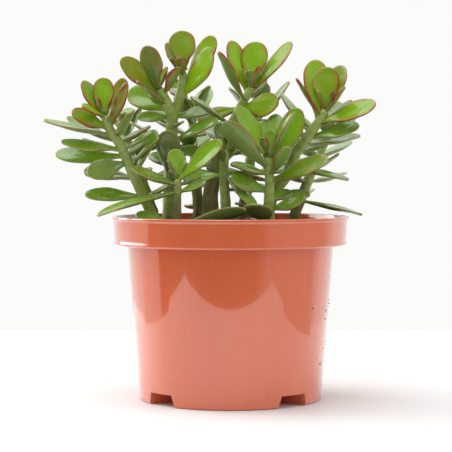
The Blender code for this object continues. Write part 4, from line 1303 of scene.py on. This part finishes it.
def panel_light(name, at, aim, wide, high, power, mirrored=True):
    """A soft rectangular light at a place, turned to face another."""
    light = bpy.data.lights.new(name, "AREA")
    light.shape = "RECTANGLE"
    light.size, light.size_y, light.energy = wide, high, power
    lamp = bpy.data.objects.new(name, light)
    lamp.location = at
    lamp.rotation_euler = (Vector(aim) - Vector(at)).to_track_quat("-Z", "Y").to_euler()
    lamp.visible_camera = False
    lamp.visible_glossy = mirrored
    bpy.context.scene.collection.objects.link(lamp)


class JADE_OT_stage(bpy.types.Operator):
    """Set the table, the soft studio light and the camera"""
    bl_idname = "jade.stage"
    bl_label = "Set the stage"

    def execute(self, context):
        s = context.scene.jade_stage
        left, right = -s.table_left / MM, s.table_right / MM
        front, back = -s.table_front / MM, s.table_back / MM
        low = -TABLE_THICKNESS
        corners = np.array([
            (left, front, 0), (right, front, 0), (right, back, 0), (left, back, 0),
            (left, front, low), (right, front, low), (right, back, low), (left, back, low)], float)
        sides = np.array([(0, 1, 2, 3), (7, 6, 5, 4), (0, 4, 5, 1), (1, 5, 6, 2), (2, 6, 7, 3), (3, 7, 4, 0)])
        slab = {"points": corners, "faces": [sides], "values": {}}
        table = piece_from("table_top", [slab], table_look(s), None, None)
        table.data.polygons.foreach_set("use_smooth", np.zeros(6, bool))

        world = bpy.data.worlds.new("studio")
        context.scene.world = world
        world.use_nodes = True
        tree = Tree(world.node_tree)
        seen = tree.node("ShaderNodeLightPath")
        even = tree.node("ShaderNodeBackground", Color=(1, 1, 1, 1), Strength=s.surround)
        ways = tree.node("ShaderNodeTexCoord").outputs["Generated"]
        across, ahead, up = tree.node("ShaderNodeSeparateXYZ", Vector=ways).outputs
        behind = tree.ramp(ahead, s.left_edge - 0.015, s.left_edge + 0.015)
        on_left = tree.times(behind, tree.ramp(across, -0.3, 0.0, 1.0, 0.0))
        right_way = tree.plus(tree.times(across, math.cos(s.right_edge)),
                              tree.times(ahead, math.sin(s.right_edge)))
        on_right = tree.times(tree.ramp(right_way, -0.06, 0.14), s.right_wall)
        far = tree.times(tree.ramp(ahead, -0.02, 0.50), s.back_wall)
        above = tree.times(tree.ramp(up, 0.55, 0.85), s.ceiling)
        walls = tree.math("MAXIMUM", tree.times(on_left, s.left_wall), on_right)
        walls = tree.math("MAXIMUM", walls, tree.math("MAXIMUM", far, above))
        room = tree.math("MAXIMUM", walls, s.studio)
        dark = tree.node("ShaderNodeBackground", Color=(1, 1, 1, 1), Strength=room)
        pale = tree.node("ShaderNodeBackground", Color=(*s.backdrop, 1), Strength=1.0)
        mirrored = tree.node("ShaderNodeMixShader", Fac=seen.outputs["Is Glossy Ray"])
        tree.feed(mirrored.inputs[1], even.outputs[0])
        tree.feed(mirrored.inputs[2], dark.outputs[0])
        final = tree.node("ShaderNodeMixShader", Fac=seen.outputs["Is Camera Ray"])
        tree.feed(final.inputs[1], mirrored.outputs[0])
        tree.feed(final.inputs[2], pale.outputs[0])
        tree.feed(world.node_tree.nodes["World Output"].inputs["Surface"], final.outputs[0])

        powers = (s.key_power, s.top_power, s.fill_power)
        for (name, at, wide, high, mirrored), power in zip(LIGHTS, powers):
            panel_light(name, at, LIGHTS_AIM, wide, high, power, mirrored)

        view = bpy.data.cameras.new("front_view")
        view.lens, view.sensor_width = CAMERA_LENS, CAMERA_SENSOR
        camera = bpy.data.objects.new("front_view", view)
        camera.location = CAMERA_AT
        camera.rotation_euler = (math.radians(90 - CAMERA_DOWN), 0.0, math.radians(CAMERA_LEFT))
        context.scene.collection.objects.link(camera)
        context.scene.camera = camera
        context.scene.view_settings.view_transform = "Standard"
        return {"FINISHED"}


class JADE_PT_panel(bpy.types.Panel):
    """Buttons for the pieces of the plant, with their settings"""
    bl_idname = "JADE_PT_panel"
    bl_label = "Jade plant"
    bl_space_type = "VIEW_3D"
    bl_region_type = "UI"
    bl_category = "Jade plant"

    def draw(self, context):
        for operator, group in STEPS:
            box = self.layout.box()
            box.operator(operator.bl_idname)
            settings = getattr(context.scene, group)
            for name in settings.__annotations__:
                box.prop(settings, name)


STEPS = (
    (JADE_OT_stage, "jade_stage"),
    (JADE_OT_pot, "jade_pot"),
    (JADE_OT_soil, "jade_soil"),
    (JADE_OT_stems, "jade_stem"),
    (JADE_OT_leaves, "jade_leaf"),
)
GROUPS = {
    "jade_pot": JadePotSettings, "jade_soil": JadeSoilSettings,
    "jade_stem": JadeStemSettings, "jade_leaf": JadeLeafSettings,
    "jade_stage": JadeStageSettings,
}
CLASSES = (*GROUPS.values(), *(step[0] for step in STEPS), JADE_PT_panel)


def register():
    for each in CLASSES:
        bpy.utils.register_class(each)
    for name, group in GROUPS.items():
        setattr(bpy.types.Scene, name, bpy.props.PointerProperty(type=group))


def unregister():
    for name in GROUPS:
        delattr(bpy.types.Scene, name)
    for each in reversed(CLASSES):
        bpy.utils.unregister_class(each)


def main():
    register()
    bpy.ops.jade.stage()
    bpy.ops.jade.pot()
    bpy.ops.jade.soil()
    bpy.ops.jade.stems()
    bpy.ops.jade.leaves()


if __name__ == "__main__":
    main()
